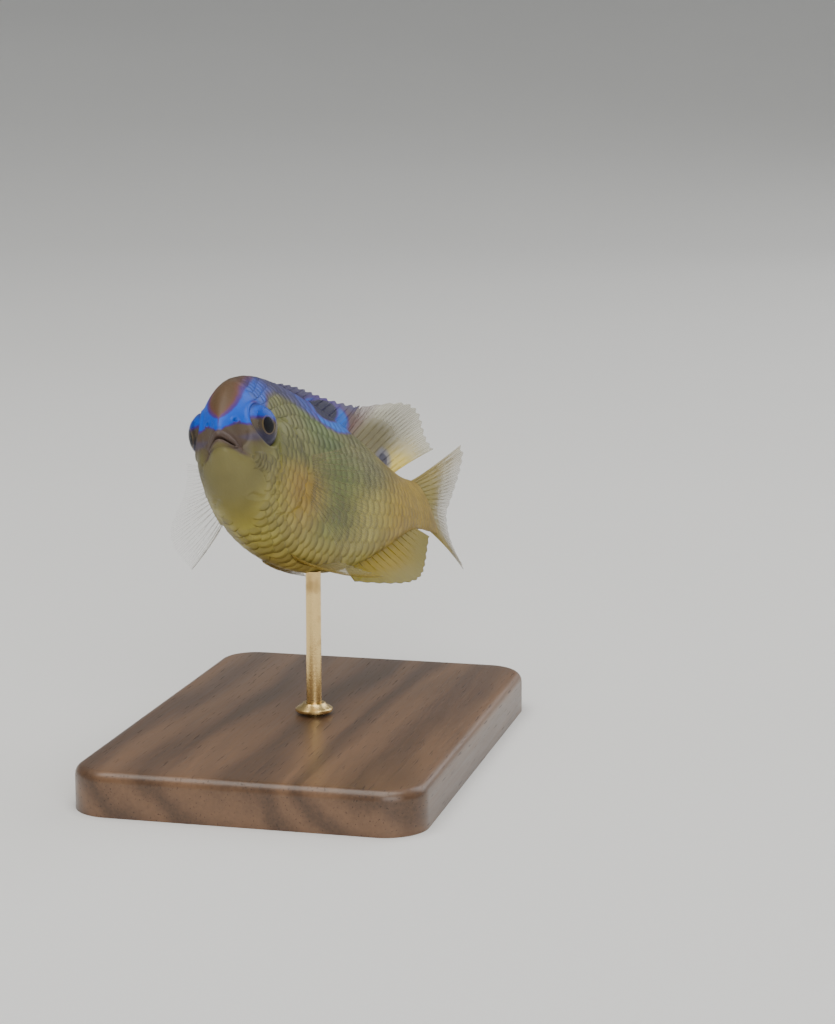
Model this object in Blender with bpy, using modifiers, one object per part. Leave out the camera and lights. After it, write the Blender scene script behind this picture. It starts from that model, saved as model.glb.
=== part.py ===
"""A surge damselfish as a still, life-size display model on a small stand.

The fish is modelled straight, in a frame of its own: the snout is at the origin, +X points
forwards, +Y to the fish's left and +Z up. Its surface is a loft of rings whose sizes are smooth
curves along the body. Each finished piece is then bent along the backbone and set on the stand,
banked and nose up, as it swims in the photograph. Lengths are in metres.
"""

import math

import bmesh
import bpy
from mathutils import Matrix, Vector

# Driving sizes
LENGTH = 0.052          # standard length: snout to the root of the tail fin
GAP = 0.0003            # clearance between pieces that touch
FIN_THICKNESS = 0.0007  # a fin along its rays
WEB_SHARE = 0.72        # a fin's web, as a share of the thickness along its rays
FIN_SINK = 0.0016       # how deep a fin's root starts under the skin, before it is trimmed

# Outline of the body from the side and from above: distance back from the snout, then the
# height of the back, the depth of the belly and the half width, all in standard lengths
BACK_LINE = ((0.02, 0.040), (0.05, 0.093), (0.09, 0.138), (0.14, 0.170), (0.20, 0.193),
             (0.28, 0.210), (0.38, 0.215), (0.48, 0.207), (0.58, 0.189), (0.68, 0.161),
             (0.78, 0.124), (0.86, 0.094), (0.93, 0.077), (1.0, 0.073))
BELLY_LINE = ((0.02, 0.038), (0.05, 0.080), (0.09, 0.119), (0.14, 0.153), (0.20, 0.180),
              (0.28, 0.203), (0.38, 0.216), (0.48, 0.216), (0.58, 0.200), (0.68, 0.167),
              (0.78, 0.123), (0.86, 0.090), (0.93, 0.075), (1.0, 0.073))
HALF_WIDTH = ((0.02, 0.040), (0.05, 0.062), (0.09, 0.077), (0.14, 0.088), (0.20, 0.096),
              (0.28, 0.100), (0.38, 0.098), (0.48, 0.091), (0.58, 0.079), (0.68, 0.064),
              (0.78, 0.047), (0.86, 0.034), (0.93, 0.024), (1.0, 0.018))
PINCH = 0.16            # how much narrower than an ellipse a section is towards the back
FULL_LINE = ((0.0, -0.16), (0.25, -0.14), (0.50, 0.02), (1.0, 0.16))  # the same towards the belly
RINGS = 34
RING_POINTS = 32
TAIL_CAP = 1.012        # the closed end of the tail stalk, inside the tail fin's root
LEAST_SHRUNK = 0.3      # the least share of a section that is left when the skin is shrunk

# Mouth: rings from the groove between the lips outwards, as distance back, half width and
# half height, in standard lengths. Their sides sweep back and down to the mouth's corners.
MOUTH_RINGS = ((0.012, 0.021, 0.0), (0.001, 0.026, 0.0080), (0.003, 0.031, 0.0150),
               (0.010, 0.034, 0.0205), (0.014, 0.034, 0.0225))
MOUTH_SWEEP = 0.034
MOUTH_DROP = 0.45       # how far the mouth falls for each step back
SWEEP_END = 0.13        # where the face no longer follows the mouth's sweep

# Eyes and nostrils
EYE = (0.111, 0.0925, 0.045)   # outermost point of the eye: back, side, up
EYE_RADIUS = 0.050
EYE_HALF_DEPTH = 0.032
ORBIT_RIM = 0.0065
EYE_TURN = math.radians(16)    # how far the eyes look forwards
NOSTRIL = (0.034, math.radians(42))  # ring's distance back, angle from the back
NOSTRIL_RADIUS = 0.0060
NOSTRIL_RIM = 0.5              # thickness of a nostril's rim, as a share of its radius
NOSTRIL_PIT = 0.7              # half width of its pit, as the same share

# Where the body parts: side-view lines, back and up
JAW_LINE = ((-0.03, 0.0135), (0.0, 0.0), (0.034, -0.015), (0.047, -0.028), (0.054, -0.052),
            (0.057, -0.12))
GILL_LINE = ((0.225, 0.27), (0.25, 0.12), (0.262, 0.0), (0.235, -0.12), (0.20, -0.24))
STALK_LINE = ((0.865, 0.2), (0.875, 0.0), (0.865, -0.2))
GILL_COVER = ((0.167, 0.050), (0.218, 0.078), (0.274, 0.058), (0.304, 0.002), (0.290, -0.065),
              (0.243, -0.121), (0.190, -0.133), (0.160, -0.082), (0.154, -0.015))
GILL_PLATE = 0.0011     # thickness of a gill cover
OUTLINE_STEPS = 3       # points of a gill cover's edge for each one that is listed
CUT_REACH = 0.2         # how far to a side the parting cutters reach

# Fins, in standard lengths and degrees
SPINES = 13
SPINY_BASE = (0.265, 0.650)
SOFT_BASE = (0.668, 0.865)
SOFT_RAYS = 12
ANAL_BASE = (0.57, 0.860)
ANAL_RAYS = 14
TAIL_RAYS = 17
PECTORAL_RAYS = 16
PELVIC_RAYS = 6
BOWED = 0.35            # how far across a fin its bow to the left takes to grow to its full size
# For each pelvic fin: its length, how far it leans outwards and down at its first ray, and how
# much less of each at its last. The right one lies close to the belly, the left one hangs free.
PELVIC_POSE = {1: (0.27, 0.15, 0.07, -0.29, 0.12), -1: (0.24, 0.12, 0.08, -0.10, 0.07)}

# Pose: distance back from the snout in standard lengths, then the degrees by which the backbone
# has turned to the left there, and by which the body has rolled its left side up
TURN_LINE = ((0.0, 0.0), (0.12, 1.0), (0.25, 7.0), (0.40, 15.5), (0.55, 22.0), (0.68, 22.5),
             (0.80, 18.0), (0.92, 13.5), (1.05, 11.0), (1.20, 10.0), (1.40, 9.5))
TWIST_LINE = ((0.0, 0.0), (0.25, -1.2), (0.50, 1.5), (0.70, 8.5), (0.85, 14.5), (0.95, 16.0),
              (1.08, 12.5), (1.25, 7.5), (1.40, 5.5))
RISE = 0.046            # how far the backbone lifts, in standard lengths, a length past RISE_START
RISE_START = 0.15
SPINE_STEPS = 280
PITCH = math.radians(22.5)
ROLL = math.radians(12.3)

# Stand
BASE_SIZE = (0.060, 0.040, 0.0050)
BASE_EDGE = 0.0012      # width of the bevel round the base's top
BASE_CORNER = 0.0048    # rounding of the base's upright corners
ROD_RADIUS = 0.0009
ROD_SOCKET = 0.003      # depth of the hole in the base that takes the rod
ROD_MEETS = 0.47        # where along the body the rod reaches the belly, in standard lengths
ROD_OVERRUN = 0.002     # how far the rod goes on past the belly line, before it is trimmed
SNOUT_HEIGHT = 0.0405   # of the snout over the floor
COLLAR = (0.0022, 0.0014)  # radius and height of the collar round the rod's foot


def clear_scene():
    for old in list(bpy.data.objects):
        bpy.data.objects.remove(old, do_unlink=True)


def material(name, colour, roughness, metallic=0.0):
    made = bpy.data.materials.new(name)
    made.use_nodes = True
    shader = made.node_tree.nodes["Principled BSDF"]
    shader.inputs["Base Color"].default_value = (*colour, 1.0)
    shader.inputs["Roughness"].default_value = roughness
    shader.inputs["Metallic"].default_value = metallic
    return made


def at(back, side, up):
    """A point of the straight fish, given in standard lengths."""
    return Vector((-back, side, up)) * LENGTH


def along(line, x):
    """Height at x of the smooth curve through a line's points."""
    x = min(max(x, line[0][0]), line[-1][0])
    i = next(n for n in range(len(line) - 1) if x <= line[n + 1][0])
    (x0, y0), (x1, y1) = line[i], line[i + 1]

    def slope(n):
        before, after = line[max(n - 1, 0)], line[min(n + 1, len(line) - 1)]
        return (after[1] - before[1]) / (after[0] - before[0])

    t = (x - x0) / (x1 - x0)
    step = x1 - x0
    return (y0 * (1 + 2 * t) * (1 - t) ** 2 + slope(i) * step * t * (1 - t) ** 2
            + y1 * t * t * (3 - 2 * t) - slope(i + 1) * step * t * t * (1 - t))


def ring_at(back):
    """A ring as distance back, half width, height, depth and its share of the mouth's sweep."""
    first = BACK_LINE[0][0]
    sweep = max(0.0, 1 - (back - first) / (SWEEP_END - first)) ** 2
    return back, along(HALF_WIDTH, back), along(BACK_LINE, back), along(BELLY_LINE, back), sweep


def body_rings():
    """The rings of the whole skin, from the groove between the lips to the tail stalk's end."""
    rings = [(back, width, height, height, 1.0) for back, width, height in MOUTH_RINGS]
    first = BACK_LINE[0][0]
    for n in range(RINGS):
        rings.append(ring_at(first + (1.0 - first) * (n / (RINGS - 1)) ** 1.25))
    rings.append((TAIL_CAP, 0.0, 0.0, 0.0, 0.0))
    return rings


def resized(size, grown):
    """A size of a section, in metres: one that closes the skin stays closed when it is grown."""
    return max(LEAST_SHRUNK * size * LENGTH, size * LENGTH + grown) if size > 0 else 0.0


def ring_point(ring, angle, grown=0.0):
    """A point of the skin: angle 0 is the back, a quarter turn the left side. Grown is in metres."""
    back, width, height, depth, sweep = ring
    side, up = math.sin(angle), math.cos(angle)
    swept = MOUTH_SWEEP * sweep * side * side
    point = at(back + swept, 0, -MOUTH_DROP * swept)
    pinch = along(FULL_LINE, back) if up < 0 < depth else PINCH
    point.y += resized(width, grown) * side * (1 - pinch * up * up)
    point.z += resized(height if up > 0 else depth, grown) * up
    return point


def grid(columns, rows):
    """A bmesh grid, with each vertex and its place as two shares from 0 to 1."""
    mesh = bmesh.new()
    bmesh.ops.create_grid(mesh, x_segments=columns, y_segments=rows, size=0.5)
    return mesh, [(vert, vert.co.x + 0.5, vert.co.y + 0.5) for vert in mesh.verts]


def new_object(name, mesh, look=None):
    data = bpy.data.meshes.new(name)
    mesh.to_mesh(data)
    mesh.free()
    obj = bpy.data.objects.new(name, data)
    bpy.context.scene.collection.objects.link(obj)
    if look:
        data.materials.append(look)
    return obj


def make_skin(name, grown=0.0):
    """The whole body as one closed skin, grown outwards or, if negative, inwards."""
    rings = body_rings()
    mesh, places = grid(RING_POINTS, len(rings) - 1)
    for vert, around, forward in places:
        ring = rings[round(forward * (len(rings) - 1))]
        vert.co = ring_point(ring, 2 * math.pi * around, grown)
        if forward == 0.0:
            vert.co.x += grown
        if forward == 1.0:
            vert.co.x -= grown
    bmesh.ops.remove_doubles(mesh, verts=mesh.verts, dist=1e-6)
    bmesh.ops.recalc_face_normals(mesh, faces=mesh.faces)
    return new_object(name, mesh)


def bake(obj):
    """Applies an object's modifiers."""
    bpy.context.view_layer.update()
    graph = bpy.context.evaluated_depsgraph_get()
    data = bpy.data.meshes.new_from_object(obj.evaluated_get(graph))
    obj.modifiers.clear()
    obj.data = data
    return obj


def combine(obj, others, operation, solver="EXACT"):
    """Joins the others to an object or cuts them from it, and removes them."""
    group = bpy.data.collections.new("operands")
    bpy.context.scene.collection.children.link(group)
    for other in others:
        bpy.context.scene.collection.objects.unlink(other)
        group.objects.link(other)
    change = obj.modifiers.new("combine", "BOOLEAN")
    change.operation = operation
    change.solver = solver
    change.operand_type = "COLLECTION"
    change.collection = group
    bake(obj)
    for other in list(group.objects):
        bpy.data.objects.remove(other, do_unlink=True)
    bpy.data.collections.remove(group)
    return obj


def copy_of(obj, name):
    made = bpy.data.objects.new(name, obj.data.copy())
    bpy.context.scene.collection.objects.link(made)
    return made


def islands(mesh):
    """The separate closed surfaces of a bmesh, as lists of faces."""
    left = set(mesh.faces)
    found = []
    while left:
        pile = [left.pop()]
        island = list(pile)
        while pile:
            for edge in pile.pop().edges:
                for face in edge.link_faces:
                    if face in left:
                        left.remove(face)
                        pile.append(face)
                        island.append(face)
        found.append(island)
    return sorted(found, key=len, reverse=True)


def keep_islands(obj, count=1):
    """Keeps an object's largest closed surface, or splits off the count largest as objects."""
    pieces = []
    for n in range(count):
        mesh = bmesh.new()
        mesh.from_mesh(obj.data)
        found = islands(mesh)
        extra = [face for i, island in enumerate(found) if i != n for face in island]
        bmesh.ops.delete(mesh, geom=extra, context="FACES")
        pieces.append(new_object(f"piece_{n}", mesh))
    name = obj.name
    bpy.data.objects.remove(obj, do_unlink=True)
    if count == 1:
        pieces[0].name = name
        return pieces[0]
    return pieces


def wall(name, line):
    """A thin upright cutter through the whole body, along a side-view line."""
    mesh = bmesh.new()
    verts = [mesh.verts.new(at(back, -CUT_REACH, up)) for back, up in line]
    edges = [mesh.edges.new(pair) for pair in zip(verts, verts[1:])]
    made = bmesh.ops.extrude_edge_only(mesh, edges=edges)["geom"]
    moved = [part for part in made if isinstance(part, bmesh.types.BMVert)]
    bmesh.ops.translate(mesh, verts=moved, vec=at(0, 2 * CUT_REACH, 0))
    bmesh.ops.recalc_face_normals(mesh, faces=mesh.faces)
    obj = new_object(name, mesh)
    thick = obj.modifiers.new("thickness", "SOLIDIFY")
    thick.thickness = GAP
    thick.offset = 0.0
    thick.use_even_offset = True
    return bake(obj)


def rounded(outline):
    """A closed outline's smooth curve through its points."""
    count = len(outline)
    curve = []
    for i in range(count):
        before, start, end, after = (Vector(outline[(i + n) % count]) for n in (-1, 0, 1, 2))
        for n in range(OUTLINE_STEPS):
            t = n / OUTLINE_STEPS
            curve.append(start + (end - before) * t / 2
                         + (before * 2 - start * 5 + end * 4 - after) * t ** 2 / 2
                         + (start * 3 - before - end * 3 + after) * t ** 3 / 2)
    return curve


def block(name, line, side, grown=0.0):
    """A cutter from the midplane outwards over a closed side-view outline, grown in its plane."""
    middle = sum((at(back, 0, up) for back, up in line), Vector()) / len(line)
    mesh = bmesh.new()
    verts = []
    for back, up in line:
        point = at(back, 0, up)
        verts.append(mesh.verts.new(point + (point - middle).normalized() * grown))
    face = mesh.faces.new(verts)
    made = bmesh.ops.extrude_face_region(mesh, geom=[face])["geom"]
    moved = [part for part in made if isinstance(part, bmesh.types.BMVert)]
    bmesh.ops.translate(mesh, verts=moved, vec=at(0, CUT_REACH * side, 0))
    bmesh.ops.recalc_face_normals(mesh, faces=mesh.faces)
    return new_object(name, mesh)


def eye_frame(side):
    """Placement of an eye: its own Z points outwards."""
    outward = Vector((math.sin(EYE_TURN), side * math.cos(EYE_TURN), 0.0))
    turn = outward.to_track_quat("Z", "X").to_matrix().to_4x4()
    back, reach, up = EYE
    centre = at(back, side * reach, up) - outward * EYE_HALF_DEPTH * LENGTH
    return Matrix.Translation(centre) @ turn


def make_ball(name, frame, radius, depth, look=None):
    """A flattened ball in a given frame."""
    mesh = bmesh.new()
    bmesh.ops.create_uvsphere(mesh, u_segments=20, v_segments=12, radius=1.0)
    size = Matrix.Diagonal((radius, radius, depth, 1.0))
    bmesh.ops.transform(mesh, matrix=frame @ size, verts=mesh.verts)
    return new_object(name, mesh, look)


def make_ring(name, frame, radius, thickness, points=24, sides=6):
    """A round bead, as a small circle spun about the frame's Z."""
    mesh = bmesh.new()
    bmesh.ops.create_circle(mesh, segments=sides, radius=thickness)
    turn = Matrix.Translation((radius, 0, 0)) @ Matrix.Rotation(math.pi / 2, 4, "X")
    bmesh.ops.transform(mesh, matrix=turn, verts=mesh.verts)
    bmesh.ops.spin(mesh, geom=mesh.verts[:] + mesh.edges[:], axis=(0, 0, 1), cent=(0, 0, 0),
                   angle=2 * math.pi, steps=points, use_merge=True)
    bmesh.ops.transform(mesh, matrix=frame, verts=mesh.verts)
    bmesh.ops.remove_doubles(mesh, verts=mesh.verts, dist=1e-7)
    bmesh.ops.recalc_face_normals(mesh, faces=mesh.faces)
    return new_object(name, mesh)


def side_at(back, up):
    """Half width of the body at a place in the side view, in standard lengths."""
    reach = along(BACK_LINE if up > 0 else BELLY_LINE, back)
    share = min(1.0, abs(up) / reach)
    pinch = PINCH if up > 0 else along(FULL_LINE, back)
    return along(HALF_WIDTH, back) * math.sqrt(1 - share * share) * (1 - pinch * share * share)


def nostril_frame(side):
    """Placement of a nostril on the skin: its own Z points outwards."""
    back, angle = NOSTRIL
    place = ring_point(ring_at(back), side * angle)
    backwards = ring_point(ring_at(back + 0.01), side * angle) - place
    around = ring_point(ring_at(back), side * (angle + 0.1)) - place
    outward = backwards.cross(around) * side
    return Matrix.Translation(place) @ outward.to_track_quat("Z", "X").to_matrix().to_4x4()


def make_body(looks):
    """The skin with its rims and sockets, parted into head, jaw, gill covers, trunk and stalk."""
    body = make_skin("body")
    rims = []
    cutters = []
    for side in (1, -1):
        frame = eye_frame(side)
        rims.append(make_ring("rim", frame, EYE_RADIUS * LENGTH, ORBIT_RIM * LENGTH))
        rims.append(make_ring("rim", nostril_frame(side), NOSTRIL_RADIUS * LENGTH,
                              NOSTRIL_RIM * NOSTRIL_RADIUS * LENGTH, points=10, sides=4))
        cutters.append(make_ball("socket", frame, EYE_RADIUS * LENGTH + GAP,
                                 EYE_HALF_DEPTH * LENGTH + GAP))
        pit = NOSTRIL_PIT * NOSTRIL_RADIUS * LENGTH
        cutters.append(make_ball("pit", nostril_frame(side), pit, 2 * pit))
    combine(body, rims, "UNION")
    combine(body, cutters, "DIFFERENCE", "MANIFOLD")

    covers = []
    beds = []
    for side, word in ((1, "left"), (-1, "right")):
        cover = block(f"gill_cover_{word}", rounded(GILL_COVER), side)
        combine(cover, [copy_of(body, "outside")], "INTERSECT")
        combine(cover, [make_skin("inside", -GILL_PLATE)], "DIFFERENCE")
        cover = keep_islands(cover)
        cover.data.materials.append(looks["yellow"])
        covers.append(cover)
        bed = block("bed", rounded(GILL_COVER), side, GAP)
        combine(bed, [make_skin("inside", -GILL_PLATE - GAP)], "DIFFERENCE")
        beds.append(bed)
    for bed in beds:
        combine(body, [bed], "DIFFERENCE", "MANIFOLD")
    for name, line in (("jaw_cut", JAW_LINE), ("gill_cut", GILL_LINE), ("stalk_cut", STALK_LINE)):
        combine(body, [wall(name, line)], "DIFFERENCE", "MANIFOLD")
    pieces = keep_islands(body, 4)
    pieces.sort(key=lambda piece: -max(vert.co.x for vert in piece.data.vertices))
    front = sorted(pieces[:2], key=lambda piece: len(piece.data.polygons))
    for piece, name in zip([*front, *pieces[2:]], ("lower_jaw", "head", "trunk", "tail_stalk")):
        piece.name = name
        piece.data.materials.append(looks["yellow"])
    return [*pieces, *covers]


def make_eyes(looks):
    return [make_ball(f"eye_{word}", eye_frame(side), EYE_RADIUS * LENGTH,
                      EYE_HALF_DEPTH * LENGTH, looks["eye"])
            for side, word in ((1, "left"), (-1, "right"))]


def make_fin(name, rays, rows, surface, look):
    """A fin as a sheet over its surface, thick along the rays and thin between them."""
    columns = 2 * (rays - 1)
    mesh, places = grid(columns, rows)
    shares = []
    for vert, across, out in places:
        vert.co = surface(across, out)
        on_ray = round(across * columns) % 2 == 0
        shares.append((1.0 if on_ray else 0.0) * (1.0 - 0.5 * out ** 3))
    bmesh.ops.triangulate(mesh, faces=mesh.faces, quad_method="FIXED")
    obj = new_object(name, mesh, look)
    weights = obj.vertex_groups.new(name="rays")
    for index, share in enumerate(shares):
        weights.add([index], share, "REPLACE")
    thick = obj.modifiers.new("thickness", "SOLIDIFY")
    thick.thickness = FIN_THICKNESS
    thick.offset = 0.0
    thick.vertex_group = weights.name
    thick.thickness_vertex_group = WEB_SHARE
    return bake(obj)


def trim(fin):
    """Cuts away what a fin has under the skin, leaving the gap to it."""
    combine(fin, [make_skin("trimmer", GAP)], "DIFFERENCE")
    return keep_islands(fin)


def bump(x, centre, spread):
    return math.exp(-((x - centre) / spread) ** 2)


def median_fin(base, line, sign, length, lean, curl, notch, rays, ruffle, bow=0.0):
    """Surface of a fin on the back or belly line: rays lean back, curl back and bow to the left."""
    def surface(across, out):
        back = base[0] + (base[1] - base[0]) * across
        root = at(back, 0, sign * along(line, back)) - Vector((0, 0, sign * FIN_SINK))
        angle = math.radians(lean[0] + (lean[1] - lean[0]) * across)
        on_web = round(across * 2 * (rays - 1)) % 2 == 1
        reach = length(across) * LENGTH * (1 - (notch if on_web else 0.0) * out ** 2)
        reach = (reach + FIN_SINK) * out
        way = Vector((-math.sin(angle), 0, sign * math.cos(angle)))
        curled = Vector((-1, 0, -0.3 * sign)) * curl * reach * out
        bowed = bow * math.sin(math.pi / 2 * min(1.0, across / BOWED))
        sway = ruffle * out * math.sin(across * 2.2 * math.pi) + bowed * out * out
        return root + way * reach + curled + at(0, sway, 0)
    return surface


def tail_surface(across, out):
    """The tail fin: rays fan out from the stalk to two lobes with a shallow fork between."""
    height = (1 - 2 * across)
    root = at(0.985, 0, 0.066 * height)
    angle = math.radians(16 if height > 0 else 13) * height
    lobe = abs(height)
    lobe_reach = 0.11 if height > 0 else 0.08
    reach = 0.19 + lobe_reach * lobe ** 1.6 - 0.03 * max(0.0, lobe - 0.86) / 0.14
    if round(across * 2 * (TAIL_RAYS - 1)) % 2 == 1:
        reach -= 0.010 * out
    way = at(math.cos(angle), 0, math.sin(angle))
    bend = at(0, 0.018 * math.sin(height * 2.5) * out + 0.05 * max(0.0, height) * out * out,
              (0.035 if height > 0 else 0.025) * height * out * out)
    return root + way * reach * out + bend


def pectoral_surface(side):
    """A pectoral fin: a round fan behind the gill cover, held out from the body."""
    if side > 0:
        axis = Vector((-0.80, 0.50, -0.22)).normalized()
        down = Vector((-0.10, 0.10, -1.0))
    else:
        axis = Vector((-0.52, -0.84, -0.08)).normalized()
        down = Vector((0.10, -0.10, -1.0))
    down = (down - axis * down.dot(axis)).normalized()
    face = axis.cross(down)

    def surface(across, out):
        back = 0.315 - 0.01 * across
        up = 0.012 - 0.062 * across
        root = at(back, side * (side_at(back, up) - 0.024), up)
        angle = math.radians(-26 + 66 * across)
        reach = 0.26 * (0.60 + 0.40 * math.sin(math.pi * min(1.0, 0.16 + 0.74 * across)) ** 0.8)
        way = axis * math.cos(angle) + down * math.sin(angle)
        cup = face * (0.035 * out * out - 0.012 * math.sin(3 * math.pi * across) * out)
        return root + (way * reach * out + cup) * LENGTH
    return surface


def pelvic_surface(side):
    """A pelvic fin: narrow and pointed, under the breast, folded back and a little outwards."""
    length, lean, less_lean, drop, less_drop = PELVIC_POSE[side]

    def surface(across, out):
        back = 0.320 + 0.050 * across
        place = 0.036 - 0.014 * across
        root = at(back, side * place, -along(BELLY_LINE, back) * 0.95)
        angle = math.radians(4 + 26 * across)
        reach = length - 0.12 * across ** 0.8
        outward = Vector((-math.cos(angle), side * (lean - less_lean * across),
                          drop + less_drop * across))
        curl = Vector((0, side * 0.02, 0.03)) * out * out
        return root + (outward * reach * out + curl) * LENGTH
    return surface


def make_fins(looks):
    spiny = median_fin(SPINY_BASE, BACK_LINE, 1,
                       lambda x: 0.062 + 0.045 * x ** 0.7 + 0.095 * x ** 5, (66, 57), 0.05,
                       0.25, SPINES, 0.003)
    soft = median_fin(SOFT_BASE, BACK_LINE, 1,
                      lambda x: 0.200 + 0.135 * bump(x, 0.52, 0.36) - 0.030 * x,
                      (57, 68), 0.03, 0.03, SOFT_RAYS, 0.010, 0.05)
    anal = median_fin(ANAL_BASE, BELLY_LINE, -1,
                      lambda x: 0.110 * bump(x, 0.55, 0.53) + 0.015 * x,
                      (30, 68), 0.075, 0.03, ANAL_RAYS, 0.010)
    fins = [make_fin("dorsal_fin_spiny", SPINES, 4, spiny, looks["dusky"]),
            make_fin("dorsal_fin_soft", SOFT_RAYS, 6, soft, looks["pale"]),
            make_fin("anal_fin", ANAL_RAYS, 6, anal, looks["yellow"]),
            make_fin("tail_fin", TAIL_RAYS, 7, tail_surface, looks["pale"])]
    for side, word in ((1, "left"), (-1, "right")):
        fins.append(make_fin(f"pectoral_fin_{word}", PECTORAL_RAYS, 6,
                             pectoral_surface(side), looks["clear"]))
        fins.append(make_fin(f"pelvic_fin_{word}", PELVIC_RAYS, 5,
                             pelvic_surface(side), looks["pale"]))
    return [trim(fin) for fin in fins]


def bent_spine():
    """Places along the bent backbone, at even steps back from the snout."""
    step = TURN_LINE[-1][0] / SPINE_STEPS
    places = [Vector((0.0, 0.0, 0.0))]
    for n in range(SPINE_STEPS):
        turn = math.radians(along(TURN_LINE, (n + 0.5) * step))
        places.append(places[-1] + at(math.cos(turn), math.sin(turn), 0.0) * step)
    return places


SPINE = bent_spine()


def bent(point):
    """A point of the straight fish, carried along as the body twists and the backbone bends."""
    back = -point.x / LENGTH
    twist = math.radians(along(TWIST_LINE, back))
    turn = math.radians(along(TURN_LINE, back))
    side = point.y * math.cos(twist) - point.z * math.sin(twist)
    up = point.y * math.sin(twist) + point.z * math.cos(twist)
    steps = max(0.0, back) * SPINE_STEPS / TURN_LINE[-1][0]
    n = min(int(steps), SPINE_STEPS - 1)
    spine = SPINE[n].lerp(SPINE[n + 1], steps - n) if back > 0 else at(back, 0, 0)
    rise = RISE * max(0.0, back - RISE_START) ** 2 * LENGTH
    return spine + Vector((math.sin(turn) * side, math.cos(turn) * side, up + rise))


def pose_frame():
    """Bank, pitch and place of the fish over the stand's middle."""
    turn = Matrix.Rotation(-PITCH, 4, "Y") @ Matrix.Rotation(ROLL, 4, "X")
    belly = turn @ bent(at(ROD_MEETS, 0, -along(BELLY_LINE, ROD_MEETS)))
    return Matrix.Translation((-belly.x, -belly.y, SNOUT_HEIGHT)) @ turn


def set_pose(obj):
    frame = pose_frame()
    for vert in obj.data.vertices:
        vert.co = frame @ bent(vert.co)
    obj.data.update()


def make_cylinder(name, radius, low, high, points=20, look=None):
    mesh = bmesh.new()
    place = Matrix.Translation((0, 0, (low + high) / 2))
    bmesh.ops.create_cone(mesh, cap_ends=True, segments=points, radius1=radius, radius2=radius,
                          depth=high - low, matrix=place)
    return new_object(name, mesh, look)


def make_stand(looks):
    """A flat base, a turned collar and a rod that rises to the belly."""
    mesh = bmesh.new()
    bmesh.ops.create_cube(mesh, size=1.0)
    bmesh.ops.transform(mesh, matrix=Matrix.Diagonal((*BASE_SIZE, 1.0)), verts=mesh.verts)
    bmesh.ops.translate(mesh, verts=mesh.verts, vec=(0, 0, BASE_SIZE[2] / 2))
    upright = [edge for edge in mesh.edges if abs((edge.verts[0].co - edge.verts[1].co).z) > 0.001]
    bmesh.ops.bevel(mesh, geom=upright, offset=BASE_CORNER, offset_type="OFFSET", segments=5,
                    profile=0.5, affect="EDGES", material=-1)
    rim = [edge for edge in mesh.edges
           if all(vert.co.z > BASE_SIZE[2] - 1e-6 for vert in edge.verts)]
    bmesh.ops.bevel(mesh, geom=rim, offset=BASE_EDGE, offset_type="OFFSET", segments=3,
                    profile=0.5, affect="EDGES", material=-1)
    base = new_object("stand_base", mesh, looks["wood"])
    top = BASE_SIZE[2]
    hole = make_cylinder("hole", ROD_RADIUS + GAP, top - ROD_SOCKET - GAP, top + 0.01)
    combine(base, [hole], "DIFFERENCE")

    belly = pose_frame() @ bent(at(ROD_MEETS, 0, -along(BELLY_LINE, ROD_MEETS)))
    rod = make_cylinder("stand_rod", ROD_RADIUS, top - ROD_SOCKET, belly.z + ROD_OVERRUN, 16,
                        looks["brass"])
    trimmer = make_skin("trimmer", GAP)
    set_pose(trimmer)
    combine(rod, [trimmer], "DIFFERENCE")
    rod = keep_islands(rod)

    radius, height = COLLAR
    inner = ROD_RADIUS + GAP
    mesh = bmesh.new()
    outline = [(inner, GAP), (radius, GAP), (radius, height * 0.5), (radius * 0.75, height * 0.75),
               (inner + 0.0004, height), (inner, height)]
    verts = [mesh.verts.new((x, 0, top + z)) for x, z in outline]
    edges = [mesh.edges.new(pair) for pair in zip(verts, [*verts[1:], verts[0]])]
    bmesh.ops.spin(mesh, geom=verts + edges, axis=(0, 0, 1), cent=(0, 0, 0), angle=2 * math.pi,
                   steps=24, use_merge=True)
    bmesh.ops.remove_doubles(mesh, verts=mesh.verts, dist=1e-7)
    bmesh.ops.recalc_face_normals(mesh, faces=mesh.faces)
    return [base, rod, new_object("stand_collar", mesh, looks["brass"])]


def main():
    clear_scene()
    looks = {
        "yellow": material("yellow_skin", (0.56, 0.42, 0.09), 0.45),
        "dusky": material("dusky_fin", (0.16, 0.10, 0.13), 0.5),
        "pale": material("pale_fin", (0.72, 0.64, 0.34), 0.4),
        "clear": material("clear_fin", (0.75, 0.72, 0.60), 0.35),
        "eye": material("eye", (0.04, 0.04, 0.07), 0.1),
        "wood": material("walnut", (0.10, 0.055, 0.03), 0.4),
        "brass": material("brass", (0.72, 0.52, 0.22), 0.3, 1.0),
    }
    fish = [*make_body(looks), *make_eyes(looks), *make_fins(looks)]
    for piece in fish:
        set_pose(piece)
    parts = bpy.data.collections.new("surge_damselfish")
    bpy.context.scene.collection.children.link(parts)
    for piece in [*fish, *make_stand(looks)]:
        bpy.context.scene.collection.objects.unlink(piece)
        parts.objects.link(piece)
        for face in piece.data.polygons:
            face.material_index = 0
        piece.data.shade_smooth()
        piece.data.set_sharp_from_angle(angle=math.radians(40))


main()
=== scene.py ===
# %% [markdown]
# # A surge damselfish, dressed as a museum model
#
# The packed solids hold the fish's size, pose and parts. This lesson dresses them: one skin in
# place of the parts of flesh, scales laid over it like roof tiles, fins of thin web over rays,
# wet eyes, and a small wooden stand. Everything is in metres, in the solids' own frame.

# %% Loading the packed frame
import math

import bmesh
import bpy
import numpy as np
from mathutils import Matrix, Vector


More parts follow.
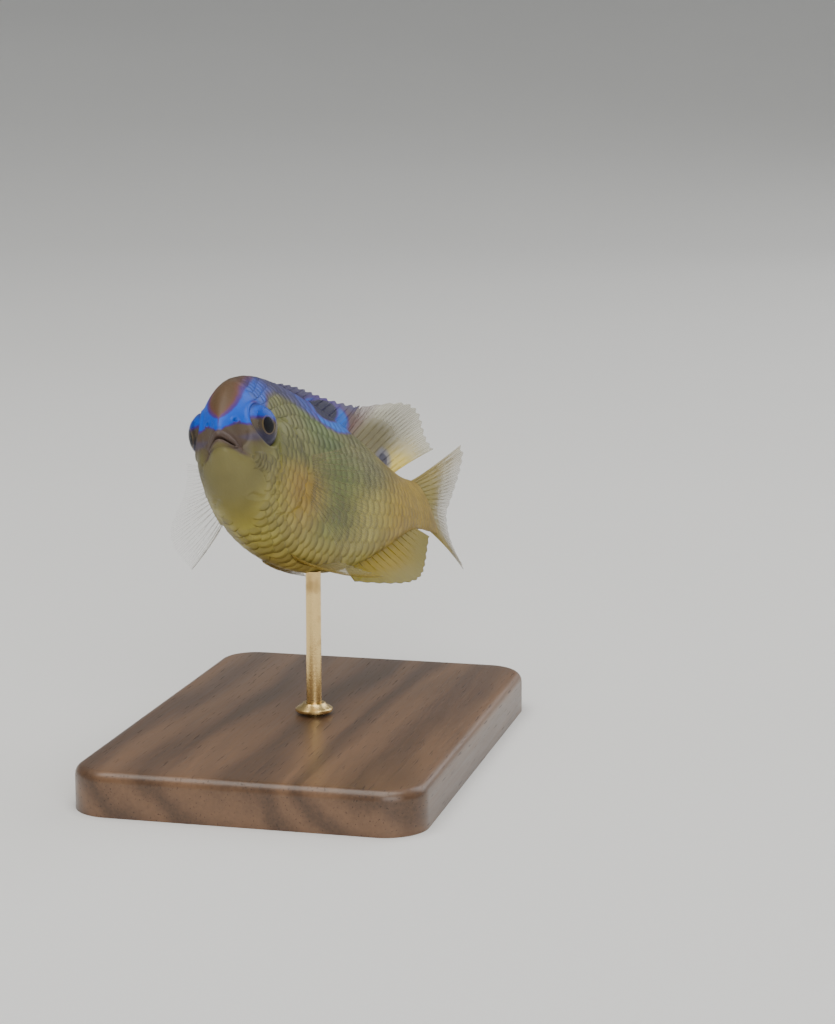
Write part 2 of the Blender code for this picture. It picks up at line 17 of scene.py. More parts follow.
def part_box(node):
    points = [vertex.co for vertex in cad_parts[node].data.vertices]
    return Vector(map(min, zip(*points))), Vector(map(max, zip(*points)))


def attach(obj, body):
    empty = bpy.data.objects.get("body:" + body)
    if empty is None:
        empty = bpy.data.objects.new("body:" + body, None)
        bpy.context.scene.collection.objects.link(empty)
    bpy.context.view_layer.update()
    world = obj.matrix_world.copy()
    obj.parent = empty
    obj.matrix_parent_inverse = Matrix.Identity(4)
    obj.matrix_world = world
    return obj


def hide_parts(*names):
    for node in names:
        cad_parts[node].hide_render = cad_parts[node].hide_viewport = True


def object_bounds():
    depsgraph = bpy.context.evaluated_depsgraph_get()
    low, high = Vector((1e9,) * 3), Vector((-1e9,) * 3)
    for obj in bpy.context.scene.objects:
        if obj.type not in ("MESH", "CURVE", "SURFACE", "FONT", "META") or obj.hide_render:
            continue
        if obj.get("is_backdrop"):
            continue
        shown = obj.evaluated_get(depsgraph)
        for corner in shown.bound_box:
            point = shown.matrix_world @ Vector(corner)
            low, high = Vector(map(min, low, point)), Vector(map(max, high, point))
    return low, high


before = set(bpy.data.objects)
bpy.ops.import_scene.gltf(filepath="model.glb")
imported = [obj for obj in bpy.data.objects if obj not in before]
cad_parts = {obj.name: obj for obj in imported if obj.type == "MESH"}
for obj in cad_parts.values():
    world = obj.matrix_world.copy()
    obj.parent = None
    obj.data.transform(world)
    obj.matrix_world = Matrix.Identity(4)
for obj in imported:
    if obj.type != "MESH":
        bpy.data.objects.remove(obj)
cad_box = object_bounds()
print("box in mm", [[round(1000 * side, 1) for side in corner] for corner in cad_box])

# %% [markdown]
# ## The straight fish
#
# A fish that bends and banks is hard to model as it lies. It is modelled straight instead: snout
# at the origin, +X forwards, +Y to its left, +Z up. Each point is then carried into the pose by
# one function, so skin, scales and fins bend together. Outlines are a few points with a smooth
# curve through them, in standard lengths: from the snout to the root of the tail fin.

# %% Outlines of the body
LENGTH = 0.052          # standard length

# Distance back, then the height of the back, the depth of the belly and the half width there
BODY = np.array(((0.02, 0.040, 0.038, 0.040), (0.05, 0.093, 0.080, 0.062),
                 (0.09, 0.138, 0.119, 0.077), (0.14, 0.170, 0.153, 0.088),
                 (0.20, 0.193, 0.180, 0.096), (0.28, 0.210, 0.203, 0.100),
                 (0.38, 0.215, 0.216, 0.098), (0.48, 0.207, 0.216, 0.091),
                 (0.58, 0.189, 0.200, 0.079), (0.68, 0.161, 0.167, 0.064),
                 (0.78, 0.124, 0.123, 0.047), (0.86, 0.094, 0.090, 0.034),
                 (0.93, 0.077, 0.075, 0.024), (1.0, 0.073, 0.073, 0.018)))
PINCH = 0.16            # how much narrower than an ellipse a section is towards the back
FULL_LINE = ((0.0, -0.16), (0.25, -0.14), (0.50, 0.02), (1.0, 0.16))  # the same, towards the belly
MOUTH_SWEEP = 0.034     # how far the mouth's corners lie behind its middle
MOUTH_DROP = 0.45       # how far the mouth falls for each step back
SWEEP_END = 0.13        # where the face no longer follows the mouth's sweep


def smooth(line):
    """A function that reads the smooth curve through a line's points, for many places at once."""
    x, y = np.array(line, float).T
    before = np.maximum(np.arange(len(x)) - 1, 0)
    after = np.minimum(np.arange(len(x)) + 1, len(x) - 1)
    slope = (y[after] - y[before]) / (x[after] - x[before])

    def read(at):
        at = np.clip(at, x[0], x[-1])
        i = np.clip(np.searchsorted(x, at, side="right") - 1, 0, len(x) - 2)
        step = x[i + 1] - x[i]
        t = (at - x[i]) / step
        return (y[i] * (1 + 2 * t) * (1 - t) ** 2 + slope[i] * step * t * (1 - t) ** 2
                + y[i + 1] * t * t * (3 - 2 * t) - slope[i + 1] * step * t * t * (1 - t))
    return read


def curves(table):
    """The smooth curve of each of a table's columns over its first column."""
    return [smooth(table[:, (0, column)]) for column in range(1, table.shape[1])]


back_height, belly_depth, half_width = curves(BODY)
belly_pinch = smooth(FULL_LINE)
print("deepest", round(1000 * LENGTH * float(back_height(0.4) + belly_depth(0.4)), 1), "mm")

# %% [markdown]
# ## The pose
#
# The swimming fish turns its tail to its left, rolls a little and noses up. The backbone is a row
# of short steps, each turned as far as the turn line says. A point keeps its place in the section
# that it belongs to, and the section is carried along the backbone.

# %% Bending and placing
TURN_LINE = ((0.0, 0.0), (0.12, 1.0), (0.25, 7.0), (0.40, 15.5), (0.55, 22.0), (0.68, 22.5),
             (0.80, 18.0), (0.92, 13.5), (1.05, 11.0), (1.20, 10.0), (1.40, 9.5))
TWIST_LINE = ((0.0, 0.0), (0.25, -1.2), (0.50, 1.5), (0.70, 8.5), (0.85, 14.5), (0.95, 16.0),
              (1.08, 12.5), (1.25, 7.5), (1.40, 5.5))
RISE = 0.046            # how far the backbone lifts, in standard lengths, a length past RISE_START
RISE_START = 0.15
SPINE_STEPS = 280
PITCH, ROLL = math.radians(22.5), math.radians(12.3)    # nose up, and left side up
ROD_MEETS = 0.47        # where along the body the rod reaches the belly
SNOUT_HEIGHT = 0.0405   # of the snout over the floor

turn_at, twist_at = smooth(TURN_LINE), smooth(TWIST_LINE)
SPINE_STEP = TURN_LINE[-1][0] / SPINE_STEPS
turns = np.radians(turn_at((np.arange(SPINE_STEPS) + 0.5) * SPINE_STEP))
spine_steps = np.stack([-np.cos(turns), np.sin(turns), 0 * turns], 1) * SPINE_STEP * LENGTH
SPINE = np.concatenate([np.zeros((1, 3)), np.cumsum(spine_steps, 0)])


def at(back, side, up):
    """Points of the straight fish (n, 3) in metres, from places in standard lengths."""
    back, side, up = np.broadcast_arrays(np.asarray(back, float), side, up)
    return np.stack([-back, side, up], -1) * LENGTH


def in_lengths(points):
    """Places (back, side, up) in standard lengths, from points of the straight fish in metres."""
    return points / LENGTH * (-1, 1, 1)


def bent(points):
    """Points of the straight fish, carried along as the body twists and the backbone bends."""
    back = -points[:, 0] / LENGTH
    twist, turn = np.radians(twist_at(back)), np.radians(turn_at(back))
    side = points[:, 1] * np.cos(twist) - points[:, 2] * np.sin(twist)
    up = points[:, 1] * np.sin(twist) + points[:, 2] * np.cos(twist)
    steps = np.clip(back, 0, TURN_LINE[-1][0]) / SPINE_STEP
    n = np.minimum(steps.astype(int), SPINE_STEPS - 1)
    spine = SPINE[n] + (SPINE[n + 1] - SPINE[n]) * (steps - n)[:, None]
    spine[:, 0] += np.maximum(0, -back) * LENGTH
    rise = RISE * np.maximum(0, back - RISE_START) ** 2 * LENGTH
    return spine + np.stack([np.sin(turn) * side, np.cos(turn) * side, up + rise], 1)


bank = np.array(Matrix.Rotation(-PITCH, 3, "Y") @ Matrix.Rotation(ROLL, 3, "X"))
belly = bent(at([ROD_MEETS], 0, -belly_depth(ROD_MEETS)))[0] @ bank.T
shift = np.array([-belly[0], -belly[1], SNOUT_HEIGHT])


def posed(points):
    """Points of the straight fish, bent, banked and set over the stand."""
    return bent(points) @ bank.T + shift


print("snout at", np.round(1000 * posed(at([0.0], 0, 0))[0], 1), "mm")

# %% [markdown]
# ## The camera and the light
#
# The photograph looks the fish nearly in the face, from a little above. Its distance follows from
# how much smaller the tail looks than the head. The snout falls on a known pixel, which gives
# where the camera aims without shifting the lens. The light is soft and comes from all round.

# %% The camera
PICTURE = (835, 1024)           # width and height of the photograph in pixels
SNOUT_PIXEL = (217.2, 437.1)    # where the snout is seen
FISH_PIXELS = 475               # one standard length at the snout's distance
CAMERA_DISTANCE = 0.27          # from the snout, along the way that the camera looks
CAMERA_TURN, CAMERA_HEIGHT = math.radians(103.6), math.radians(10)
SENSOR = 36.0                   # height of the camera's sensor in millimetres
CLIP_START = 0.01               # nothing closer to the camera than this is drawn

look_back = Vector((math.sin(CAMERA_TURN) * math.cos(CAMERA_HEIGHT),
                    -math.cos(CAMERA_TURN) * math.cos(CAMERA_HEIGHT), math.sin(CAMERA_HEIGHT)))
look_right = Vector((0, 0, 1)).cross(look_back).normalized()
look_up = look_back.cross(look_right)
per_metre = FISH_PIXELS / LENGTH
snout = Vector(posed(at([0.0], 0, 0))[0])
eye_point = (snout + look_right * ((PICTURE[0] / 2 - SNOUT_PIXEL[0]) / per_metre)
             - look_up * ((PICTURE[1] / 2 - SNOUT_PIXEL[1]) / per_metre)
             + look_back * CAMERA_DISTANCE)
lens = bpy.data.cameras.new("camera")
lens.sensor_fit = "VERTICAL"
lens.sensor_height = SENSOR
lens.lens = SENSOR * per_metre * CAMERA_DISTANCE / PICTURE[1]
lens.clip_start = CLIP_START
camera = bpy.data.objects.new("camera", lens)
bpy.context.scene.collection.objects.link(camera)
camera.matrix_world = (Matrix.Translation(eye_point)
                       @ Matrix((look_right, look_up, look_back)).transposed().to_4x4())
bpy.context.scene.camera = camera
print("lens", round(lens.lens, 1), "mm at", [round(1000 * c) for c in eye_point], "mm")

# %% [markdown]
# ## Painting with nodes
#
# No picture is wrapped round this fish. Each colour is worked out by shader nodes from where a
# point lies on the straight fish. Long chains of nodes are hard to read in code, so a field
# stands for a node's output: adding two fields adds a Math node, and its step a Map Range node.

# %% Fields: shader nodes written as arithmetic
class Field:
    """A value that changes over a surface, as the output of a shader node."""

    def __init__(self, tree, socket):
        self.tree, self.socket = tree, socket

    def maths(self, operation, *others):
        return add_node(self.tree, "Math", self, *others, operation=operation)

    def __add__(self, other):
        return self.maths("ADD", other)

    def __sub__(self, other):
        return self.maths("SUBTRACT", other)

    def __rsub__(self, other):
        return add_node(self.tree, "Math", other, self, operation="SUBTRACT")

    def __mul__(self, other):
        return self.maths("MULTIPLY", other)

    def step(self, low, high):
        """0 up to low and 1 past high, or 1 to 0 where high is the lower, smooth between."""
        return add_node(self.tree, "MapRange", self, low, high, interpolation_type="SMOOTHSTEP")

    def curve(self, *line):
        """Height of the smooth curve through points whose places lie between 0 and 1."""
        made = self.tree.nodes.new("ShaderNodeFloatCurve")
        points = made.mapping.curves[0].points
        for place, height in line[1:-1]:
            points.new(place, height)
        points[0].location, points[-1].location = line[0], line[-1]
        made.mapping.update()
        feed(self.tree, self, made.inputs["Value"])
        return Field(self.tree, made.outputs[0])

    def parts(self):
        """The three numbers of a vector."""
        made = self.tree.nodes.new("ShaderNodeSeparateXYZ")
        feed(self.tree, self, made.inputs[0])
        return [Field(self.tree, one) for one in made.outputs]

    def between(self, low, high, way="MIX"):
        """The colour low where this is 0, and the colour high where it is 1."""
        return add_node(self.tree, "Mix", self, low, high, data_type="RGBA", blend_type=way)

    def blend(self, over, share, way="MIX"):
        """This colour with another laid over it, as far as the share says."""
        return share.between(self, over, way)


def feed(tree, value, socket):
    """Links a field to a socket, or sets the socket to a plain value."""
    if isinstance(value, Field):
        tree.links.new(value.socket, socket)
    else:
        socket.default_value = value


def add_node(tree, kind, *values, out=0, **settings):
    """Adds a shader node, fills its inputs in order and gives one of its outputs as a field."""
    made = tree.nodes.new("ShaderNode" + kind)
    for setting, choice in settings.items():
        setattr(made, setting, choice)
    for socket, value in zip([one for one in made.inputs if one.enabled], values):
        feed(tree, value, socket)
    return Field(tree, [one for one in made.outputs if one.enabled][out])


def distance(across, along):
    """How far a place lies from where two fields are 0."""
    return (across * across + along * along).maths("SQRT")


def noise(place, scale, detail=2.0, stretch=None):
    """Soft random values from 0 to 1, squeezed along the axes where stretch is large."""
    if stretch:
        place = add_node(place.tree, "VectorMath", place, stretch, operation="MULTIPLY")
    return add_node(place.tree, "TexNoise", place, scale, detail)


def kept(tree, name):
    """What each point of a piece keeps in one of its attributes."""
    return add_node(tree, "Attribute", attribute_name=name, out=1)


def new_material(name):
    made = bpy.data.materials.new(name)
    made.use_nodes = True
    return made, made.node_tree


def fill_shader(tree, height=None, depth=0.0, **values):
    """Fills a shader's sockets, and roughens it by a height field over a depth in metres."""
    shader = tree.nodes["Principled BSDF"]
    for label, value in values.items():
        feed(tree, value, shader.inputs[label.replace("_", " ")])
    if height:
        made = tree.nodes.new("ShaderNodeBump")
        made.inputs["Distance"].default_value = depth
        feed(tree, height, made.inputs["Height"])
        tree.links.new(made.outputs["Normal"], shader.inputs["Normal"])


def paint_group(name, inputs, outputs):
    """A new shader node group: its tree, its inputs as fields, and the sockets it puts out."""
    tree = bpy.data.node_groups.new(name, "ShaderNodeTree")
    for way, sockets in (("INPUT", inputs), ("OUTPUT", outputs)):
        for label, kind in sockets.items():
            tree.interface.new_socket(label, in_out=way, socket_type="NodeSocket" + kind)
    entry, leaving = tree.nodes.new("NodeGroupInput"), tree.nodes.new("NodeGroupOutput")
    return tree, [Field(tree, one) for one in entry.outputs[:-1]], leaving.inputs[:-1]


def use_group(tree, group, *values):
    """Places a group in a tree, and gives its outputs as fields."""
    made = tree.nodes.new("ShaderNodeGroup")
    made.node_tree = group
    for socket, value in zip(made.inputs, values):
        feed(tree, value, socket)
    return [Field(tree, one) for one in made.outputs]


def rgb(red, green, blue):
    return red, green, blue, 1.0


print("a field knows", [name for name in vars(Field) if not name.startswith("_")])

# %% [markdown]
# ## The fish's colours
#
# The body is a dull olive yellow with an orange flush behind the gill cover, a green band round the
# flank and gold towards the tail. On each side a bright blue line starts on the snout, passes over
# the eye and runs along the back. Between the two the forehead is brown-red and the nape purple.
# Skin and scales share one group of nodes, so the markings cross from one to the other unbroken.

# %% Body colours and the blue lines
OLIVE, BELLY_GOLD = rgb(0.154, 0.153, 0.035), rgb(0.405, 0.350, 0.076)
ORANGE, GREEN = rgb(0.345, 0.196, 0.010), rgb(0.092, 0.152, 0.024)
TAIL_GOLD, CHEEK = rgb(0.370, 0.240, 0.012), rgb(0.134, 0.116, 0.051)
FOREHEAD, RUSSET = rgb(0.108, 0.060, 0.026), rgb(0.150, 0.050, 0.038)
NAPE = rgb(0.044, 0.034, 0.125)
BLUE, VIOLET = rgb(0.001, 0.088, 0.600), rgb(0.060, 0.016, 0.230)
LIPS, UNDER_EYE = rgb(0.095, 0.062, 0.046), rgb(0.080, 0.066, 0.105)
PATCH_SHADE = rgb(0.45, 0.42, 0.45)
# The second colour here is a painted highlight, screened faintly over the middle of each scale
SCALE_EDGE, SCALE_PAINTED_HIGHLIGHT = rgb(0.42, 0.36, 0.30), rgb(1.0, 0.95, 0.80)
SCALE_SHADE = rgb(0.45, 0.42, 0.40)

# How far round from the back, as a share of half a turn, each blue line starts and ends
INNER_EDGE = ((0.0, 0.0), (0.022, 0.0), (0.028, 0.042), (0.040, 0.086), (0.056, 0.112),
              (0.076, 0.108), (0.100, 0.090), (0.150, 0.070), (0.200, 0.048), (0.240, 0.024),
              (0.290, 0.018), (0.380, 0.040), (0.480, 0.052), (1.0, 0.05))
OUTER_EDGE = ((0.0, 0.05), (0.010, 0.09), (0.020, 0.135), (0.032, 0.180), (0.045, 0.215),
              (0.060, 0.285), (0.075, 0.330), (0.095, 0.290), (0.120, 0.235), (0.150, 0.205),
              (0.175, 0.165), (0.200, 0.132), (0.260, 0.110), (0.320, 0.118), (0.400, 0.140),
              (0.480, 0.150), (0.560, 0.120), (1.0, 0.05))
BLUE_SHARE = ((0.0, 1.0), (0.16, 1.0), (0.20, 0.72), (0.24, 0.34), (0.29, 0.08), (0.37, 0.08),
              (0.41, 0.35), (0.45, 0.60), (0.49, 0.50), (0.53, 0.0), (1.0, 0.0))
BROW = (0.108, 0.172)           # middle of the violet spot over the eye, and its reach
BROW_REACH = (0.026, 0.024)
# How far back the green band lies, by the same share
GREEN_BAND = ((0.0, 0.44), (0.20, 0.46), (0.38, 0.50), (0.55, 0.505), (0.75, 0.475), (1.0, 0.47))

markings, (place,), (body_colour, blue_share) = paint_group(
    "fish_markings", {"Place": "Vector"}, {"Color": "Color", "Blue": "Float"})
back, side, up = place.parts()
wander = noise(place, 45.0, 3.0) - 0.5
girth = side.maths("ABSOLUTE").maths("ARCTAN2", up) * (1 / math.pi) + wander * 0.022
patches = noise(place, 9.0, 2.0) - 0.5


def patch(x, y, middle, reach):
    """1 in the middle of an oval patch, falling softly to 0 at its edge."""
    return distance((x - middle[0]) * (1 / reach[0]), (y - middle[1]) * (1 / reach[1])).step(1.0, 0.15)


inner = back.curve(*INNER_EDGE)
outer = back.curve(*OUTER_EDGE)
colour = add_node(markings, "RGB")
colour.socket.default_value = OLIVE
colour = colour.blend(BELLY_GOLD, girth.step(0.45, 0.85))
colour = colour.blend(GREEN, (back - girth.curve(*GREEN_BAND) + patches * 0.05)
                      .maths("ABSOLUTE").step(0.17, 0.0) * girth.step(0.94, 0.80) * 0.78)
colour = colour.blend(ORANGE, patch(back, girth, (0.29, 0.70), (0.18, 0.25)) * 0.78)
colour = colour.blend(ORANGE, patch(back, girth, (0.40, 1.0), (0.22, 0.16)) * 0.35)
colour = colour.blend(TAIL_GOLD, (back + girth * 0.12 + patches * 0.08).step(0.70, 0.92))
colour = colour.blend(CHEEK, back.step(0.17, 0.07) * girth.step(0.30, 0.42) * 0.8)
colour = colour.blend(LIPS, back.step(0.13, 0.06) * girth.step(0.62, 0.44) * 0.9)
colour = colour.blend(UNDER_EYE, patch(back, girth, (0.066, 0.455), (0.036, 0.075)) * 0.75)
colour = colour.blend(NAPE, (girth - outer).step(0.030, -0.020) * back.step(0.15, 0.24)
                      * back.step(0.64, 0.54) * 0.92)
tongue = (girth - inner).step(0.01, -0.010) * back.step(0.27, 0.22)
colour = colour.blend(FOREHEAD, tongue)
colour = colour.blend(RUSSET, tongue * (girth - inner).step(-0.060, -0.015) * 0.8)
border = (girth - inner).step(-0.034, 0.004) * (girth - outer).step(0.030, 0.0)
line = (girth - inner).step(0.000, 0.018) * (girth - outer).step(0.006, -0.018)
strength = back.curve(*BLUE_SHARE)
colour = colour.blend(VIOLET, border * strength * 0.9)
blue = line * strength * (1.0 - patch(back, girth, BROW, BROW_REACH) * 0.8)
colour = colour.blend(BLUE, blue)
gape = (up + back * MOUTH_DROP - 0.008).maths("ABSOLUTE")
colour = colour.blend(LIPS, gape.step(0.024, 0.014) * back.step(0.066, 0.050))
colour = colour.blend(PATCH_SHADE, patches.step(0.10, -0.25) * 0.5, "MULTIPLY")
feed(markings, colour, body_colour)
feed(markings, blue, blue_share)
print("markings use", len(markings.nodes), "nodes")

# %% [markdown]
# Two dark spots lie where the body meets the back fin: a large eyespot with a blue rim under the
# last spines, and a small one at the fin's end. They cross from skin to fin, so they are a group
# of their own, laid over whatever colour the skin or the fin has there.

# %% The eyespot and the tail spot
# For each spot: its middle in the side view, its half length and height, and how it climbs
EYESPOT = (0.590, 0.186), (0.100, 0.035), 0.28
SPOT_EDGE = (0.602, 0.176), (0.130, 0.056), 0.20        # of the eyespot's blue rim
TAIL_SPOT = (0.878, 0.114), (0.028, 0.018), 0.35
SPOT_BLACK, SPOT_BLUE = rgb(0.010, 0.008, 0.044), rgb(0.003, 0.120, 0.560)
SPOT_RIM = rgb(0.150, 0.150, 0.210)

spots, (place, ground), (spot_colour, spot_cover) = paint_group(
    "dark_spots", {"Place": "Vector", "Ground": "Color"}, {"Color": "Color", "Cover": "Float"})
back, side, up = place.parts()
ragged = (noise(place, 40.0, 3.0) - 0.5) * 0.22


def oval(middle, half, climb):
    """0 in the middle of an oval of the side view, and 1 on its edge."""
    behind, above = back - middle[0], up - middle[1]
    above = above - behind * climb
    return distance(behind * (1 / half[0]), above * (1 / half[1])) + ragged


eyespot, edge, tail_spot = oval(*EYESPOT), oval(*SPOT_EDGE), oval(*TAIL_SPOT)
rim = edge.step(1.06, 0.90) * up.step(0.228, 0.210)
black = (eyespot.step(1.04, 0.90)).maths("MAXIMUM", tail_spot.step(1.05, 0.75) * 0.85)
colour = ground.blend(VIOLET, edge.step(1.16, 1.0) * 0.8)
colour = colour.blend(SPOT_BLUE, rim)
colour = colour.blend(SPOT_RIM, tail_spot.step(2.1, 1.2) * 0.8)
colour = colour.blend(VIOLET, eyespot.step(1.16, 1.0) * 0.85)
feed(spots, colour.blend(SPOT_BLACK, black), spot_colour)
feed(spots, rim.maths("MAXIMUM", black), spot_cover)
print("spots use", len(spots.nodes), "nodes")

# %% [markdown]
# Living skin is wet but finely pitted, so it never shines like glass. The same fine grain of
# height and gloss serves skin, scales and fins, each at its own scale.

# %% Fine grain of the skin
fine_grain, (place, scale, gloss), (grain_height, grain_rough) = paint_group(
    "fine_grain", {"Place": "Vector", "Scale": "Float", "Roughness": "Float"},
    {"Height": "Float", "Roughness": "Float"})
pores = noise(place, scale, 4.0)
feed(fine_grain, pores, grain_height)
feed(fine_grain, gloss + (pores - 0.5) * 0.30 + (noise(place, 14.0) - 0.5) * 0.16, grain_rough)


def paint_skin(name, scaly):
    """The skin's material, or the scales' with their edges, ridges and a faint painted highlight."""
    look, tree = new_material(name)
    place = kept(tree, "fish")
    colour, blue = use_group(tree, markings, place)
    height, rough = use_group(tree, fine_grain, place, 260.0 if scaly else 190.0, 0.50)
    if scaly:
        across, reach = add_node(tree, "UVMap", uv_map="scale").parts()[:2]
        own = noise(add_node(tree, "UVMap", uv_map="OFBake"), 260.0, 0.0)
        rings = (reach * 60.0 + (across - 0.5) * (across - 0.5) * 30.0).maths("SINE")
        ribs = (across * 70.0).maths("SINE") * reach.step(0.7, 0.3)
        edge = reach.step(0.62, 1.0) + (across - 0.5).maths("ABSOLUTE").step(0.36, 0.5) * 0.6
        colour = colour.blend(SCALE_EDGE, edge * 0.28, "MULTIPLY")
        # A painted highlight: a faint near-white spot screened over the middle of each scale
        colour = colour.blend(SCALE_PAINTED_HIGHLIGHT, patch(across, reach, (0.5, 0.55), (0.5, 0.4)) * 0.04,
                              "SCREEN")
        colour = colour.blend(SCALE_SHADE, own.step(0.75, 0.25) * 0.5, "MULTIPLY")
        height = height * 0.5 + rings * 0.16 + ribs * 0.10
    colour = use_group(tree, spots, place, colour)[0]
    fill_shader(tree, height, 0.00002 if scaly else 0.000035, Base_Color=colour,
                Roughness=rough - blue * 0.06, Specular_IOR_Level=0.28, Coat_Weight=0.08,
                Coat_Roughness=0.25, Subsurface_Weight=0.10,
                Subsurface_Radius=(0.0012, 0.0007, 0.0004))
    return look


print("fine grain uses", len(fine_grain.nodes), "nodes")

# %% [markdown]
# The floor is a wide, pale dish whose rim curves up all round, so that no horizon shows from any
# side. Three broad lamps keep the shadows soft: a large one overhead, a weaker one near the camera
# and one behind. The world adds an even, slightly blue fill.

# %% Floor and light
def add_object(name, mesh, *materials):
    """A new object in the scene from a bmesh, smooth-shaded."""
    data = bpy.data.meshes.new(name)
    mesh.to_mesh(data)
    mesh.free()
    piece = bpy.data.objects.new(name, data)
    bpy.context.scene.collection.objects.link(piece)
    for look in materials:
        data.materials.append(look)
    data.shade_smooth()
    return piece


def finish(name, mesh, look, slot, *nodes):
    """A new piece of the model, which takes the place of the named nodes."""
    piece = add_object(name, mesh, look)
    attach(piece, "root")
    if nodes:
        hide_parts(*nodes)
    return piece


def thicken(piece, thickness, offset):
    change = piece.modifiers.new("thickness", "SOLIDIFY")
    change.thickness, change.offset = thickness, offset


def sewn(mesh, reach=1e-6):
    """Joins a mesh's vertices where they meet, and turns its faces outwards."""
    bmesh.ops.remove_doubles(mesh, verts=mesh.verts, dist=reach)
    bmesh.ops.recalc_face_normals(mesh, faces=mesh.faces)
    return mesh


def turned(profile, steps, closed=False):
    """A profile of points (out, up) spun once round the upright axis."""
    mesh = bmesh.new()
    verts = [mesh.verts.new((x, 0, z)) for x, z in profile]
    ends = [*verts[1:], verts[0]] if closed else verts[1:]
    edges = [mesh.edges.new(pair) for pair in zip(verts, ends)]
    bmesh.ops.spin(mesh, geom=verts + edges, axis=(0, 0, 1), cent=(0, 0, 0), angle=2 * math.pi,
                   steps=steps, use_merge=True)
    return mesh


DISH_FLAT, DISH_CURVE, DISH_HIGH = 0.4, 3.0, 4.5
dish = [(DISH_FLAT + DISH_CURVE * math.sin(turn), DISH_CURVE * (1 - math.cos(turn)))
        for turn in np.linspace(0, math.pi / 2, 17)]
floor_look, tree = new_material("pale_floor")
place = add_node(tree, "TexCoord", out=3)
cloudy = noise(place, 6.0, 3.0)
fill_shader(tree, noise(place, 900.0), 0.00004, Roughness=cloudy * 0.1 + 0.8,
            Base_Color=cloudy.between(rgb(0.77, 0.76, 0.74), rgb(0.82, 0.81, 0.79)))
floor = add_object("floor", sewn(turned([(0.0, 0.0), *dish, (DISH_FLAT + DISH_CURVE, DISH_HIGH)],
                                        96)), floor_look)
floor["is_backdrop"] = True

FISH_MIDDLE = Vector((0.0, 0.0, 0.035))
for name, place, size, watts, colour in (
        ("overhead", (0.10, -0.05, 0.75), 0.7, 5.4, (1.0, 0.98, 0.94)),
        ("front", (0.55, 0.30, 0.35), 0.5, 2.4, (0.96, 0.98, 1.0)),
        ("behind", (-0.5, 0.35, 0.40), 0.5, 1.5, (0.94, 0.97, 1.0))):
    light = bpy.data.lights.new(name, "AREA")
    light.shape, light.size, light.energy, light.color = "SQUARE", size, watts, colour
    lamp = bpy.data.objects.new(name, light)
    bpy.context.scene.collection.objects.link(lamp)
    lamp.location = place
    lamp.rotation_euler = (Vector(place) - FISH_MIDDLE).to_track_quat("Z", "Y").to_euler()
world = bpy.data.worlds.new("pale_world")
bpy.context.scene.world = world
world.use_nodes = True
world.node_tree.nodes["Background"].inputs["Color"].default_value = (0.86, 0.90, 0.93, 1.0)
world.node_tree.nodes["Background"].inputs["Strength"].default_value = 0.42

# %% [markdown]
# ## The skin
#
# The skin is one closed loft. A grid is laid round the body: one of its directions runs from the
# back round to the belly and up again, the other from the groove between the lips to the end of
# the tail stalk. The first rings fold into two lips, then follow the face and the body lines.

# %% Rings of the skin
FACE_START = BODY[0, 0]
MOUTH_SHARE = 0.16      # of the rings that make the lips
CAP_SHARE = 0.02        # of the rings that close the tail stalk
TAIL_CAP = 1.012
# Share of the way over the lips from the groove between them, then distance back, half width and
# half height there
LIP_RINGS = np.array(((0.0, 0.0175, 0.0240, 0.0), (0.12, 0.0085, 0.0245, 0.0014),
                      (0.26, 0.0026, 0.0262, 0.0042), (0.42, 0.0008, 0.0290, 0.0085),
                      (0.58, 0.0030, 0.0318, 0.0132), (0.70, 0.0080, 0.0332, 0.0170),
                      (0.80, 0.0126, 0.0336, 0.0196), (0.90, 0.0148, 0.0362, 0.0290),
                      (1.0, 0.0200, 0.0400, 0.0400)))
lip_back, lip_width, lip_height = curves(LIP_RINGS)


def section(back, angle, width=None, height=None, depth=None, lip=1.0):
    """Points of the skin: angle 0 is the back, a quarter turn the left side."""
    width = half_width(back) if width is None else width
    height = back_height(back) if height is None else height
    depth = belly_depth(back) if depth is None else depth
    sweep = np.clip(1 - (back - FACE_START) / (SWEEP_END - FACE_START), 0, 1) ** 2
    side, up = np.sin(angle), np.cos(angle)
    swept = MOUTH_SWEEP * sweep * side ** 2
    pinch = np.where(up < 0, PINCH + (belly_pinch(back) - PINCH) * lip, PINCH)
    return at(back + swept, width * side * (1 - pinch * up ** 2),
              np.where(up > 0, height, depth) * up - MOUTH_DROP * swept)


def skin_point(forward, around):
    """Points of the bare skin, from shares of its length and girth."""
    lip = np.clip(forward / MOUTH_SHARE, 0, 1)
    body = np.clip((forward - MOUTH_SHARE) / (1 - CAP_SHARE - MOUTH_SHARE), 0, 1)
    cap = np.clip((forward - 1 + CAP_SHARE) / CAP_SHARE, 0, 1)
    back = FACE_START + (1 - FACE_START) * body ** 1.3
    in_lip = forward < MOUTH_SHARE
    closing = np.sqrt(1 - cap ** 2)
    width = np.where(in_lip, lip_width(lip), half_width(back)) * closing
    height = np.where(in_lip, lip_height(lip), back_height(back)) * closing
    depth = np.where(in_lip, lip_height(lip) * (1 - 0.05 * lip), belly_depth(back)) * closing
    back = np.where(in_lip, lip_back(lip), back + (TAIL_CAP - 1) * cap)
    return section(back, 2 * np.pi * around, width, height, depth, lip)


def unit(ways):
    return ways / np.maximum(np.linalg.norm(ways, axis=1), 1e-12)[:, None]


def outward(surface, u, v, step=1e-3):
    """Unit normals of a surface given by two shares, pointing away from the body."""
    one = surface(u + step, v) - surface(u - step, v)
    two = surface(u, v + step) - surface(u, v - step)
    return unit(np.cross(two, one))


hoop = section(np.full(200, 0.4), np.linspace(0, 2 * np.pi, 200))
print("girth", round(1000 * np.linalg.norm(np.diff(hoop, axis=0), axis=1).sum(), 1), "mm")

